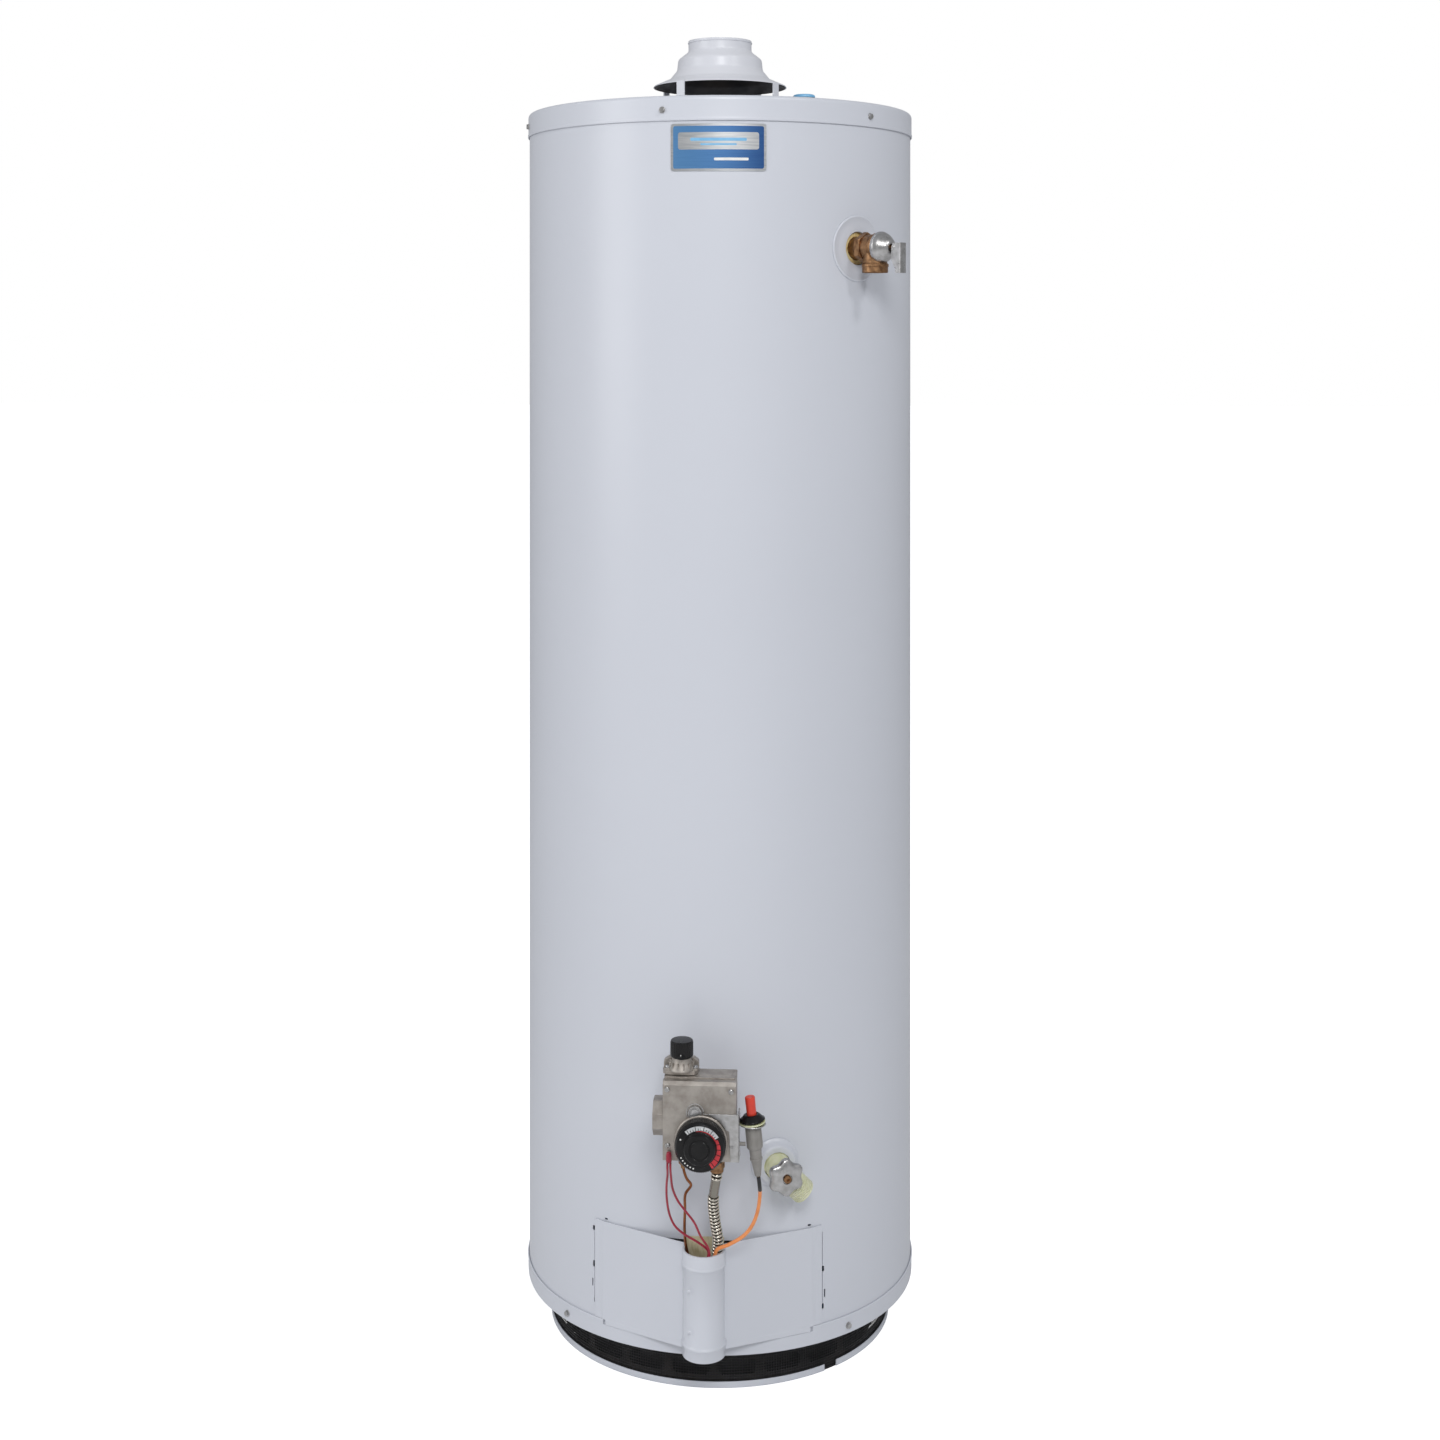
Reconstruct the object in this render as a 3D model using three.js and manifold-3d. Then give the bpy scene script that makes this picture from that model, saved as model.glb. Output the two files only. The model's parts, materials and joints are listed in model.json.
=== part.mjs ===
// Tall gas water heater: a glass-lined tank with a central flue in an insulated steel jacket,
// standing on a vented base. Millimetres, +Z up, origin on the floor under the tank's axis.
// The front, with the gas control, faces -Y. Angles are measured from the front towards +X.
import * as THREE from 'three';
import { mergeVertices } from 'three/addons/utils/BufferGeometryUtils.js';
import Module from 'manifold-3d';

const wasm = await Module();
wasm.setup();

// Driving dimensions
const gap = 0.3; // clearance between touching pieces
const roundSides = 48; // facets round the outer shells
const tankSides = 24; // facets round the tank and what is fitted to it

const jacket = { radius: 229, wall: 1.2, bottom: 51.5, top: 1429 };
const lid = { radius: 231, wall: 1.6, skirtBottom: 1403, top: 1431, corner: 3.5 };
const pan = { radius: 231, wall: 1.6, bottom: 50, top: 71, hole: 120 };
const base = { inner: 198, outer: 199.4, height: 49.7, slotPitch: 15, slotStart: -5.4 };
const slot = { length: 43, height: 17, z: 22 };
const screen = { inner: 200, outer: 201.2, bottom: 0.6, top: 48.5 };
const trim = { inner: 201.6, outer: 202.8, bottom: 0.6, top: 7.6, gapFrom: 39.5, gapTo: 44.5 };
const tank = { radius: 203.4, wall: 2.5, skirtBottom: 52, headTop: 1395, shoulder: 1355 };
const flue = { radius: 38.2, wall: 1.6, bottom: 215, top: 1430 };
const vent = { radius: 38.1, wall: 1.2, top: 1522 };
const nipple = { offset: 101.6, radius: 13.34, bore: 10.45, bottom: 1375, coldTop: 1453, hotTop: 1444 };
const accessDoor = { halfWidth: 108, bottom: 74, top: 176 };
const conduit = { y: -250, radius: 22.5, wall: 1.2, band: 1, bottom: 63, top: 177 };
const door = { bottom: 66, top: 180.5, wall: 1.2, bend: 30, edge: 33.4 };
const valve = { halfWidth: 38.7, front: -314, coverBack: -303.4, back: -277, bottom: 297.5, top: 380.5 };
const cock = { x: -20.5, y: -290, shoulder: 382.3, towerTop: 399 };
const dial = { x: 2, z: 318.5, radius: 26.5, front: -339 };
const relief = { angle: 46.5, z: 1265, hole: 18.5, plate: 37.5 };
const drain = { angle: 19.3, z: 258.5, hole: 18, plate: 27, spoutLength: 38, spoutRadius: 13.3 };
const wheel = { lobes: 6, middle: 18.6, swing: 1.7 };
const plate = { width: 105, height: 52, corner: 3, angle: 3.6, z: 1373.5 };
const igniter = { x: 55.5, y: -300, z: 334, tilt: 6 };
const control = { spudRadius: 17.2, z: 337 };
const lidScrewAngles = [-76, -12, 51.5, 125];
const panScrewAngles = [-44.5, 42.5, 135.5, 222.5];

const degree = Math.PI / 180;

const heater = new THREE.Group();

function finish(color, roughness, metalness) {
  return new THREE.MeshStandardMaterial({ color, roughness, metalness });
}

const jacketEnamel = finish('#ccd1db', 0.35, 0.0);
const castAluminium = finish('#a39d98', 0.5, 0.8);
const bareSteel = finish('#9a9a9a', 0.45, 0.9);
const blackPlastic = finish('#1a1a1b', 0.4, 0.0);
const brass = finish('#b39a5c', 0.35, 0.9);

function add(name, geometry, material, parent = heater) {
  const mesh = new THREE.Mesh(geometry, material.clone());
  mesh.name = name;
  parent.add(mesh);
  return mesh;
}

// A frame on the jacket's side: its -Y points straight out of the tank at the given angle.
function sideFrame(angle, z) {
  const frame = new THREE.Group();
  frame.rotation.z = angle * degree;
  frame.position.z = z;
  heater.add(frame);
  return frame;
}

// Shape helpers. A turned profile lists (radius, height) anticlockwise, outer wall going up.
function lathe(profile, sides) {
  return new THREE.LatheGeometry(profile.map(([r, h]) => new THREE.Vector2(r, h)), sides);
}

function turned(profile, sides = roundSides) {
  return lathe(profile, sides).rotateX(Math.PI / 2);
}

// Turned round -Y: the second number of each point is the distance out from the tank's axis.
function turnedOutward(profile, sides) {
  return lathe(profile, sides).rotateX(Math.PI);
}

function ring(inner, outer, bottom, top, sides = roundSides) {
  return turned([[inner, bottom], [outer, bottom], [outer, top], [inner, top], [inner, bottom]], sides);
}

function rod(radius, bottom, top, sides) {
  return turned([[0, bottom], [radius, bottom], [radius, top], [0, top]], sides);
}

function rodOutward(radius, from, to, sides) {
  return turnedOutward([[0, from], [radius, from], [radius, to], [0, to]], sides);
}

function box(x0, x1, y0, y1, z0, z1) {
  const geometry = new THREE.BoxGeometry(x1 - x0, y1 - y0, z1 - z0);
  return geometry.translate((x0 + x1) / 2, (y0 + y1) / 2, (z0 + z1) / 2);
}

// A flat outline of (x, y) points, extruded upwards.
function prism(outline, bottom, top) {
  const shape = new THREE.Shape(outline.map(([x, y]) => new THREE.Vector2(x, y)));
  const options = { depth: top - bottom, bevelEnabled: false };
  return new THREE.ExtrudeGeometry(shape, options).translate(0, 0, bottom);
}

// A flat outline of (x, z) points, extruded outwards along -Y.
function prismOutward(outline, from, to) {
  return prism(outline, from, to).rotateX(Math.PI / 2);
}

// A flat outline of (y, z) points, extruded along X.
function prismAcross(outline, x0, x1) {
  return prism(outline, x0, x1).rotateX(Math.PI / 2).rotateZ(Math.PI / 2);
}

function circle(radius, sides, x = 0, y = 0) {
  const points = [];
  for (let i = 0; i < sides; i += 1) {
    const turn = (i / sides) * 2 * Math.PI;
    points.push([x + radius * Math.cos(turn), y + radius * Math.sin(turn)]);
  }
  return points;
}

// A rounded rectangle: four corner arcs joined by straight sides.
function roundedRectangle(width, height, radius, arcSteps) {
  const points = [];
  for (let corner = 0; corner < 4; corner += 1) {
    const cx = (width / 2 - radius) * (corner === 0 || corner === 3 ? 1 : -1);
    const cy = (height / 2 - radius) * (corner < 2 ? 1 : -1);
    for (let i = 0; i <= arcSteps; i += 1) {
      const turn = (corner + i / arcSteps) * (Math.PI / 2);
      points.push([cx + radius * Math.cos(turn), cy + radius * Math.sin(turn)]);
    }
  }
  return points;
}

// A round line of one thickness along a smooth curve through the points.
function line(points, radius, sides, steps) {
  const path = new THREE.CatmullRomCurve3(points.map((p) => new THREE.Vector3(...p)), false, 'centripetal');
  const section = new THREE.Shape(circle(radius, sides).map(([x, y]) => new THREE.Vector2(x, y)));
  return new THREE.ExtrudeGeometry(section, { extrudePath: path, steps, bevelEnabled: false });
}

// Joining and cutting
function solid(geometry) {
  const plain = geometry.clone();
  plain.deleteAttribute('normal');
  plain.deleteAttribute('uv');
  const merged = mergeVertices(plain, 1e-4);
  const index = merged.index.array;
  const kept = [];
  for (let i = 0; i < index.length; i += 3) {
    const [a, b, c] = [index[i], index[i + 1], index[i + 2]];
    if (a !== b && b !== c && c !== a) kept.push(a, b, c);
  }
  const vertProperties = new Float32Array(merged.attributes.position.array);
  return new wasm.Manifold(new wasm.Mesh({ numProp: 3, vertProperties, triVerts: new Uint32Array(kept) }));
}

function surface(manifold) {
  const mesh = manifold.getMesh();
  const geometry = new THREE.BufferGeometry();
  geometry.setAttribute('position', new THREE.BufferAttribute(new Float32Array(mesh.vertProperties), 3));
  geometry.setIndex(new THREE.BufferAttribute(new Uint32Array(mesh.triVerts), 1));
  geometry.computeVertexNormals();
  return geometry;
}

function joined(...geometries) {
  return surface(geometries.map(solid).reduce((whole, piece) => whole.add(piece)));
}

function cut(geometry, ...tools) {
  return surface(tools.map(solid).reduce((whole, tool) => whole.subtract(tool), solid(geometry)));
}

function common(geometry, tool) {
  return surface(solid(geometry).intersect(solid(tool)));
}

// A tool that enters the side of the tank at an angle and a height.
function atSide(geometry, angle, z) {
  return geometry.rotateZ(angle * degree).translate(0, 0, z);
}

function sideHole(radius, angle, z, from = 180, to = 240, sides = 16) {
  return atSide(rodOutward(radius, from, to, sides), angle, z);
}

function nippleHoles(radius, from, to, sides) {
  return [-1, 1].map((side) => rod(radius, from, to, sides).translate(side * nipple.offset, 0, 0));
}

const screwHoles = [
  ...lidScrewAngles.map((angle) => sideHole(2.1, angle, 1415, 220, 235, 6)),
  ...panScrewAngles.map((angle) => sideHole(2.1, angle, 59.5, 220, 235, 6)),
];

// Base: a slotted steel ring carries the heater and a black mesh keeps lint out of it.
function makeBase() {
  const slots = [];
  const [across, up] = [slot.length / 2, slot.height / 2];
  const outline = [
    [-across, 0], [-across + 5, -up], [across - 5, -up],
    [across, 0], [across - 5, up], [-across + 5, up],
  ];
  for (let angle = base.slotStart; angle < 360 + base.slotStart; angle += base.slotPitch) {
    slots.push(atSide(prismOutward(outline, base.inner - 12, base.outer + 8), angle, slot.z));
  }
  const legs = ring(base.inner, base.outer, 0, base.height);
  add('base_ring', cut(legs, ...slots), finish('#5b5b5d', 0.5, 0.8));

  const cloth = ring(screen.inner, screen.outer, screen.bottom, screen.top);
  add('intake_screen', cloth, finish('#17181b', 0.6, 0.2));

  const middle = ((trim.gapFrom + trim.gapTo) / 2) * degree;
  const halfGap = trim.outer * Math.sin(((trim.gapTo - trim.gapFrom) / 2) * degree);
  const opening = box(-halfGap, halfGap, -trim.outer - 10, -trim.inner + 20, 0, 20).rotateZ(middle);
  add('screen_trim', cut(ring(trim.inner, trim.outer, trim.bottom, trim.top), opening), bareSteel);

  const { radius, wall, bottom, top, hole } = pan;
  const floorTop = bottom + 1.2;
  const panProfile = [
    [hole, bottom], [radius, bottom], [radius, top], [radius - wall, top],
    [radius - wall, floorTop], [hole, floorTop], [hole, bottom],
  ];
  const doorNotch = box(-116.5, 116.5, -240, -150, door.bottom - 0.4, top + 5);
  add('bottom_pan', cut(turned(panProfile), doorNotch, ...screwHoles), jacketEnamel);

  const arrestorProfile = [[0, 51.5], [140, 51.5], [140, 53], [116, 53], [108, 60], [0, 60]];
  add('flame_arrestor', turned(arrestorProfile, tankSides), bareSteel);
}

// Jacket, foam and tank: nested shells with the same ports through all of them.
function makeShells() {
  const { halfWidth, bottom, top } = accessDoor;
  const frontOpening = box(-halfWidth, halfWidth, -260, -150, bottom, top);
  const jacketShell = ring(jacket.radius - jacket.wall, jacket.radius, jacket.bottom, jacket.top);
  const jacketCuts = [
    frontOpening,
    sideHole(relief.hole, relief.angle, relief.z),
    sideHole(drain.hole, drain.angle, drain.z),
    sideHole(22, 0, control.z),
    ...screwHoles,
  ];
  add('jacket', cut(jacketShell, ...jacketCuts), jacketEnamel);

  const foamInner = tank.radius + 0.5;
  const foamOuter = jacket.radius - jacket.wall - 0.4;
  const foamProfile = [
    [foamInner, 200], [foamOuter, 200], [foamOuter, 1428.6], [40, 1428.6], [40, 1396.2],
    [150.3, 1388.2], [foamInner, 1355.6], [foamInner, 200],
  ];
  const foamCuts = [
    sideHole(13.6, relief.angle, relief.z),
    sideHole(13.6, drain.angle, drain.z),
    sideHole(control.spudRadius + 0.8, 0, control.z),
    ...nippleHoles(nipple.radius + 1, 1370, 1440, 16),
    rod(16, 1370, 1440, 12).translate(0, nipple.offset, 0),
  ];
  add('insulation', cut(turned(foamProfile, tankSides), ...foamCuts), finish('#d8c48a', 0.9, 0.0));

  const flueHole = flue.radius + 0.4;
  const inside = tank.radius - tank.wall;
  const tankProfile = [
    [flueHole, 240], [150, 233], [inside, 205], [inside, tank.skirtBottom],
    [tank.radius, tank.skirtBottom], [tank.radius, tank.shoulder], [150, 1387], [flueHole, tank.headTop],
    [flueHole, tank.headTop - 2.6], [149, 1384.4], [inside, tank.shoulder - 1.5], [inside, 207.9],
    [151, 235.5], [flueHole, 242.6], [flueHole, 240],
  ];
  const tankCuts = [
    box(-75, 75, -220, -150, 78, 168),
    sideHole(13.4, relief.angle, relief.z),
    sideHole(13.4, drain.angle, drain.z),
    sideHole(control.spudRadius + 0.4, 0, control.z),
    ...nippleHoles(nipple.radius + 0.4, 1370, 1410, 16),
    rod(10, 1370, 1410, 12).translate(0, nipple.offset, 0),
  ];
  add('inner_tank', cut(turned(tankProfile, tankSides), ...tankCuts), finish('#3c4f86', 0.3, 0.1));
}

// Flue with its twisted baffle, anode, dip tube, nipples and the coloured liners in them.
function makeTop() {
  add('flue_tube', ring(flue.radius - flue.wall, flue.radius, flue.bottom, flue.top, 24), bareSteel);

  // The baffle is a strip folded into a zigzag, hung by its wide top on the flue's rim.
  const folds = Array.from({ length: 30 }, (_, i) => [i % 2 === 0 ? -14 : 14, flue.top + 6 - i * 40]);
  const zigzag = [...folds.map(([y, z]) => [y - 0.8, z]), ...folds.map(([y, z]) => [y + 0.8, z]).reverse()];
  const hanger = box(-37.4, 37.4, -14.4, -13.2, flue.top + gap, flue.top + 6);
  add('flue_baffle', joined(prismAcross(zigzag, -31, 31), hanger), finish('#6f5a4c', 0.6, 0.7));

  const anodeProfile = [[0, 480], [9.5, 480], [9.5, 1397], [14, 1397], [14, 1409], [0, 1409]];
  add('anode_rod', turned(anodeProfile, 12), bareSteel).position.y = nipple.offset;

  add('dip_tube', ring(6.6, 8.2, 330, 1440, 16), finish('#e6e2d6', 0.5, 0.0)).position.x = nipple.offset;

  const ends = { cold: [1, nipple.coldTop, '#7db6dd'], hot: [-1, nipple.hotTop, '#c8392f'] };
  for (const [name, [side, top, color]] of Object.entries(ends)) {
    const pipe = ring(nipple.bore, nipple.radius, nipple.bottom, top, 24);
    add(`${name}_nipple`, pipe, bareSteel).position.x = side * nipple.offset;
    const linerProfile = [
      [8.7, top - 22], [nipple.bore - gap, top - 22], [nipple.bore - gap, top + gap],
      [nipple.radius, top + gap], [nipple.radius, top + 2.2], [nipple.radius - 1.8, top + 4],
      [8.7, top + 4], [8.7, top - 22],
    ];
    const liner = add(`${name}_liner`, turned(linerProfile, 16), finish(color, 0.45, 0.0));
    liner.position.x = side * nipple.offset;
  }

  const under = lid.top - 1.6;
  const lidProfile = [
    [lid.radius - lid.wall, lid.skirtBottom], [lid.radius, lid.skirtBottom],
    [lid.radius, lid.top - lid.corner], [lid.radius - 1.1, lid.top - 1],
    [lid.radius - lid.corner, lid.top], [40.5, lid.top], [40.5, under],
    [lid.radius - lid.wall, under], [lid.radius - lid.wall, lid.skirtBottom],
  ];
  const lidHoles = nippleHoles(nipple.radius + 0.9, 1420, 1440, 24);
  add('top_lid', cut(turned(lidProfile), ...lidHoles, ...screwHoles), jacketEnamel);
}

// Draft hood: a stepped cone on four strap legs, open to the room below its rim.
function makeDraftHood() {
  const collar = vent.radius;
  const bore = vent.radius - vent.wall;
  const bell = [
    [79.9, 1465.4], [80.4, 1466.6], [60.4, 1475.6], [51.6, 1486.2], [50.2, 1499.4], [collar, 1508.9],
    [collar, vent.top], [bore, vent.top], [bore, 1508.2], [49, 1498.7], [50.4, 1485.8], [59.8, 1474.5],
    [79.9, 1465.4],
  ];
  const legs = [];
  for (const angle of [-31, 59, 149, 239]) {
    legs.push(atSide(box(-5.5, 5.5, -81.4, -79.6, lid.top + gap, 1467.2), angle, 0));
    legs.push(atSide(box(-5.5, 5.5, -80, -68, lid.top + gap, lid.top + 1.8), angle, 0));
  }
  add('draft_hood', joined(turned(bell, tankSides), ...legs), finish('#d2d3d8', 0.35, 0.0));
}

// Sheet-metal screws hold the lid and the bottom pan to the jacket.
function makeScrews() {
  const profile = [[0, 227.7], [1.7, 227.7], [1.7, 231.3], [4.2, 231.3], [3.6, 234.2], [0, 234.2]];
  const put = (name, angle, z) => add(name, turnedOutward(profile, 8), jacketEnamel, sideFrame(angle, z));
  lidScrewAngles.forEach((angle, i) => put(`lid_screw_${i + 1}`, angle, 1415));
  panScrewAngles.forEach((angle, i) => put(`pan_screw_${i + 1}`, angle, 59.5));
}

// Thin pieces that lie on the jacket are cut out of a shell of its own curve.
function onJacket(outline, angle, z, thickness) {
  const shell = ring(jacket.radius + gap, jacket.radius + gap + thickness, z - 40, z + 40);
  return common(shell, atSide(prismOutward(outline, 200, 240), angle, z));
}

// A rod along the drain valve's spout, which slants down at 45 degrees across the valve.
function drainSpout(radius, from, to, sides) {
  return rod(radius, from, to, sides).rotateY(135 * degree).translate(0, -251, 0);
}

function makePlates() {
  const outline = roundedRectangle(plate.width, plate.height, plate.corner, 2);
  add('name_plate', onJacket(outline, plate.angle, plate.z, 0.8), finish('#4f7fb5', 0.3, 0.4));

  const reliefDisc = onJacket(circle(relief.plate, 24), relief.angle, relief.z, 0.8);
  const reliefHole = sideHole(relief.hole, relief.angle, relief.z);
  add('relief_escutcheon', cut(reliefDisc, reliefHole), jacketEnamel);

  // The drain valve's is drawn up into a collar round the valve's hexagon.
  const { hole, plate: rim } = drain;
  const collarProfile = [
    [hole, 222], [rim, 222], [rim, 229.6], [20.5, 238.9],
    [14.4, 238.9], [14.4, 238.4], [hole, 238.4], [hole, 222],
  ];
  const collar = atSide(turnedOutward(collarProfile, 24), drain.angle, drain.z);
  const drum = rod(jacket.radius + gap, drain.z - 40, drain.z + 40, roundSides);
  const spoutRoom = atSide(drainSpout(drain.spoutRadius + 0.6, 8, 40, 20), drain.angle, drain.z);
  add('drain_escutcheon', cut(collar, drum, spoutRoom), jacketEnamel);
}

// Temperature and pressure relief valve: brass body with its outlet down, zinc bonnet and test lever.
function makeReliefValve() {
  const frame = sideFrame(relief.angle, relief.z);
  const outlet = rod(14.5, -28, 0, 20).translate(0, -256, 0);
  const outletBore = rod(12, -30, -8, 20).translate(0, -256, 0);
  const body = joined(
    rodOutward(13, 195, 238.1, 20),
    rodOutward(18, 238, 246, 6),
    rodOutward(15, 245.9, 263, 20),
    outlet,
  );
  add('relief_valve_body', cut(body, outletBore, rodOutward(17.9, 263, 290, 24)), brass, frame);

  const bonnetProfile = [
    [14, 263.3], [17.5, 263.3], [17.5, 273], [15.2, 278.4], [9, 281.5],
    [3.2, 281.5], [3.2, 276], [14, 273], [14, 263.3],
  ];
  add('relief_bonnet', turnedOutward(bonnetProfile, 16), finish('#b7b7b5', 0.4, 0.9), frame);

  const stemProfile = [[0, 264], [7, 264], [7, 265.8], [2.6, 265.8], [2.6, 291.2], [0, 291.2]];
  const pinHole = rod(1.3, -5, 5, 10).rotateY(Math.PI / 2).translate(0, -288, 0);
  add('relief_stem', cut(turnedOutward(stemProfile, 16), pinHole), brass, frame);

  // The lever is a channel folded round the stem, hung on a pin through it.
  const channel = [
    [-3.5, -284.2], [-4.8, -284.2], [-4.8, -298.3], [4.8, -298.3],
    [4.8, -284.2], [3.5, -284.2], [3.5, -297], [-3.5, -297],
  ];
  const pin = rod(1, -4, 4, 10).rotateY(Math.PI / 2).translate(0, -288, 0);
  add('relief_lever', joined(prism(channel, -29, 4.5), pin), finish('#bdbdbb', 0.35, 0.9), frame);
}

// Drain valve: plastic body with a hose spout, a screwed stem and a six-lobed handwheel.
function makeDrainValve() {
  const frame = sideFrame(drain.angle, drain.z);
  const spout = drainSpout(drain.spoutRadius, 0, drain.spoutLength, 20);
  const spoutBore = drainSpout(9.5, 14, drain.spoutLength + 2, 16);
  const body = joined(
    rodOutward(13, 195, 232.1, 20),
    rodOutward(16.5, 232, 238.1, 6),
    rodOutward(14, 238, 264.6, 20),
    spout,
  );
  const stemBore = rodOutward(4.6, 252, 270, 12);
  add('drain_valve_body', cut(body, spoutBore, stemBore), finish('#d3d3ac', 0.4, 0.0), frame);

  add('drain_stem', rodOutward(4.2, 253, 277.5, 12), brass, frame);

  const rim = [];
  for (let i = 0; i < 48; i += 1) {
    const turn = (i / 48) * 2 * Math.PI;
    const reach = wheel.middle - wheel.swing * Math.cos(wheel.lobes * turn);
    rim.push([reach * Math.cos(turn), reach * Math.sin(turn)]);
  }
  const rimAndHub = joined(prismOutward(rim, 267.2, 275.2), rodOutward(8, 265, 267.3, 16));
  add('drain_handwheel', cut(rimAndHub, rodOutward(4.5, 260, 290, 12)), finish('#c2c2c0', 0.4, 0.8), frame);
}

// Gas control: cast body on a spud in the tank wall, with the cock on top and the dial in front.
function makeGasControl() {
  const { halfWidth, front, coverBack, back, bottom, top } = valve;
  const cover = [
    [coverBack, bottom], [coverBack, top], [front + 2.2, top], [front, top - 2.2], [front, bottom],
  ];
  const boss = prism(circle(37 / 2 / Math.cos(Math.PI / 8), 8), 0, 12).rotateZ(Math.PI / 8);
  boss.rotateY(-Math.PI / 2).translate(-38, -293, control.z);
  const body = joined(
    prismAcross(cover, -halfWidth, halfWidth),
    box(-38.2, 38.2, coverBack - 0.2, back, 299, 382),
    rodOutward(28.5, -front - 0.1, 317.6, 32).translate(dial.x, 0, dial.z),
    rodOutward(7.35, -front - 0.1, 317, 20).translate(-4.5, 0, 349),
    boss,
    rodOutward(control.spudRadius, 192, -back + 0.1, 24).translate(0, 0, control.z),
    rod(9.5, 290, 299.5, 6).translate(17, -291, 0),
    rod(5, 292, 299.5, 6).translate(-20, -291, 0),
  );
  const bores = [
    rod(9.3, -60, -34, 16).rotateY(Math.PI / 2).translate(0, -293, control.z),
    rodOutward(4.4, 306, 320, 12).translate(dial.x, 0, dial.z),
    rod(5.4, 372, 390, 12).translate(cock.x, cock.y, 0),
  ];
  add('gas_valve_body', cut(body, ...bores), castAluminium);

  const foot = [
    [-40.4, -277.5], [-40.4, -294], [-36, -299], [-6, -299], [-2.6, -294], [-2.6, -277.5],
  ];
  const towerProfile = [[0, 387], [14.5, 387], [10.3, 395.5], [10.3, cock.towerTop], [0, cock.towerTop]];
  const ears = [[-40.4, 387], [-2.6, 387], [-2.6, 392.4], [-8, 396.4], [-35, 396.4], [-40.4, 392.4]];
  const turret = joined(
    prism(foot, cock.shoulder, 387.5),
    turned(towerProfile, 20).translate(cock.x, cock.y, 0),
    prismOutward(ears, 277.5, 286),
  );
  const turretBore = rod(5.4, 380, 402, 12).translate(cock.x, cock.y, 0);
  add('gas_cock_turret', cut(turret, turretBore), castAluminium);

  const plugProfile = [[0, 373], [5, 373], [5, 396.5], [3, 396.5], [3, 410.5], [0, 410.5]];
  add('gas_cock_plug', turned(plugProfile, 12), brass).position.set(cock.x, cock.y, 0);

  const knobOuter = turned([[0, 400], [12.3, 400], [11.9, 417], [0, 417]], 24);
  const pointer = prism([[-4.5, -8], [4.5, -8], [1.2, -15], [-1.2, -15]].reverse(), 400.2, 404);
  const knobHollow = rod(10.9, 398, 408.5, 24);
  const knob = cut(joined(knobOuter, pointer), knobHollow, rod(3.3, 400, 414, 12));
  add('gas_cock_knob', knob, blackPlastic).position.set(cock.x, cock.y, 0);

  const dialProfile = [
    [0, 309], [4, 309], [4, 318], [dial.radius, 318], [dial.radius, 330],
    [24.5, 333], [18.5, 333.5], [17, -dial.front], [0, -dial.front],
  ];
  add('temperature_dial', turnedOutward(dialProfile, 24), blackPlastic).position.set(dial.x, 0, dial.z);

  add('thermostat_probe', rodOutward(6.3, 60, 191.6, 12), bareSteel).position.z = control.z;
}

// Push-button igniter, clamped in a bracket on the right of the control.
function makeIgniter() {
  const plateOutline = [[4, 348], [4, 341], [31.5, 330], [33, 298], [42.2, 298], [42.2, 348]];
  const plate = prismOutward(plateOutline, 314.3, 315.7);
  const flange = box(40.8, 42.2, -315.7, -296, 298, 348);
  const tab = joined(
    prism(circle(14.2, 24, igniter.x, igniter.y), igniter.z - 1.4, igniter.z),
    box(40.8, igniter.x, -306, -294, igniter.z - 1.4, igniter.z),
  );
  const tabHole = rod(7.2, 320, 340, 20).translate(igniter.x, igniter.y, 0);
  const dialClearance = rodOutward(29, 310, 320, 32).translate(dial.x, 0, dial.z);
  const bracket = cut(joined(plate, flange, tab), tabHole, dialClearance);
  add('igniter_bracket', bracket, finish('#9fa3a3', 0.4, 0.8));

  const frame = new THREE.Group();
  frame.position.set(igniter.x, igniter.y, igniter.z);
  frame.rotation.y = -igniter.tilt * degree;
  heater.add(frame);

  const bodyProfile = [
    [0, -56], [3.4, -56], [6.3, -36], [6.6, -27], [8.5, -25], [8.5, -3.4], [6.6, -3.4], [6.6, 1.6], [0, 1.6],
  ];
  const bore = rod(5.6, -20, 4, 16);
  add('igniter_body', cut(turned(bodyProfile, 20), bore), finish('#8d8a86', 0.5, 0.0), frame);

  const collarProfile = [[5.6, 1.9], [13, 1.9], [13, 4], [8.5, 9.5], [5.6, 9.5], [5.6, 1.9]];
  add('igniter_collar', turned(collarProfile, 24), blackPlastic, frame);

  const buttonProfile = [[0, -11], [5.25, -11], [5.25, 27.6], [4.6, 28.4], [0, 28.4]];
  add('igniter_button', turned(buttonProfile, 16), finish('#d8402f', 0.4, 0.0), frame);
}

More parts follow.
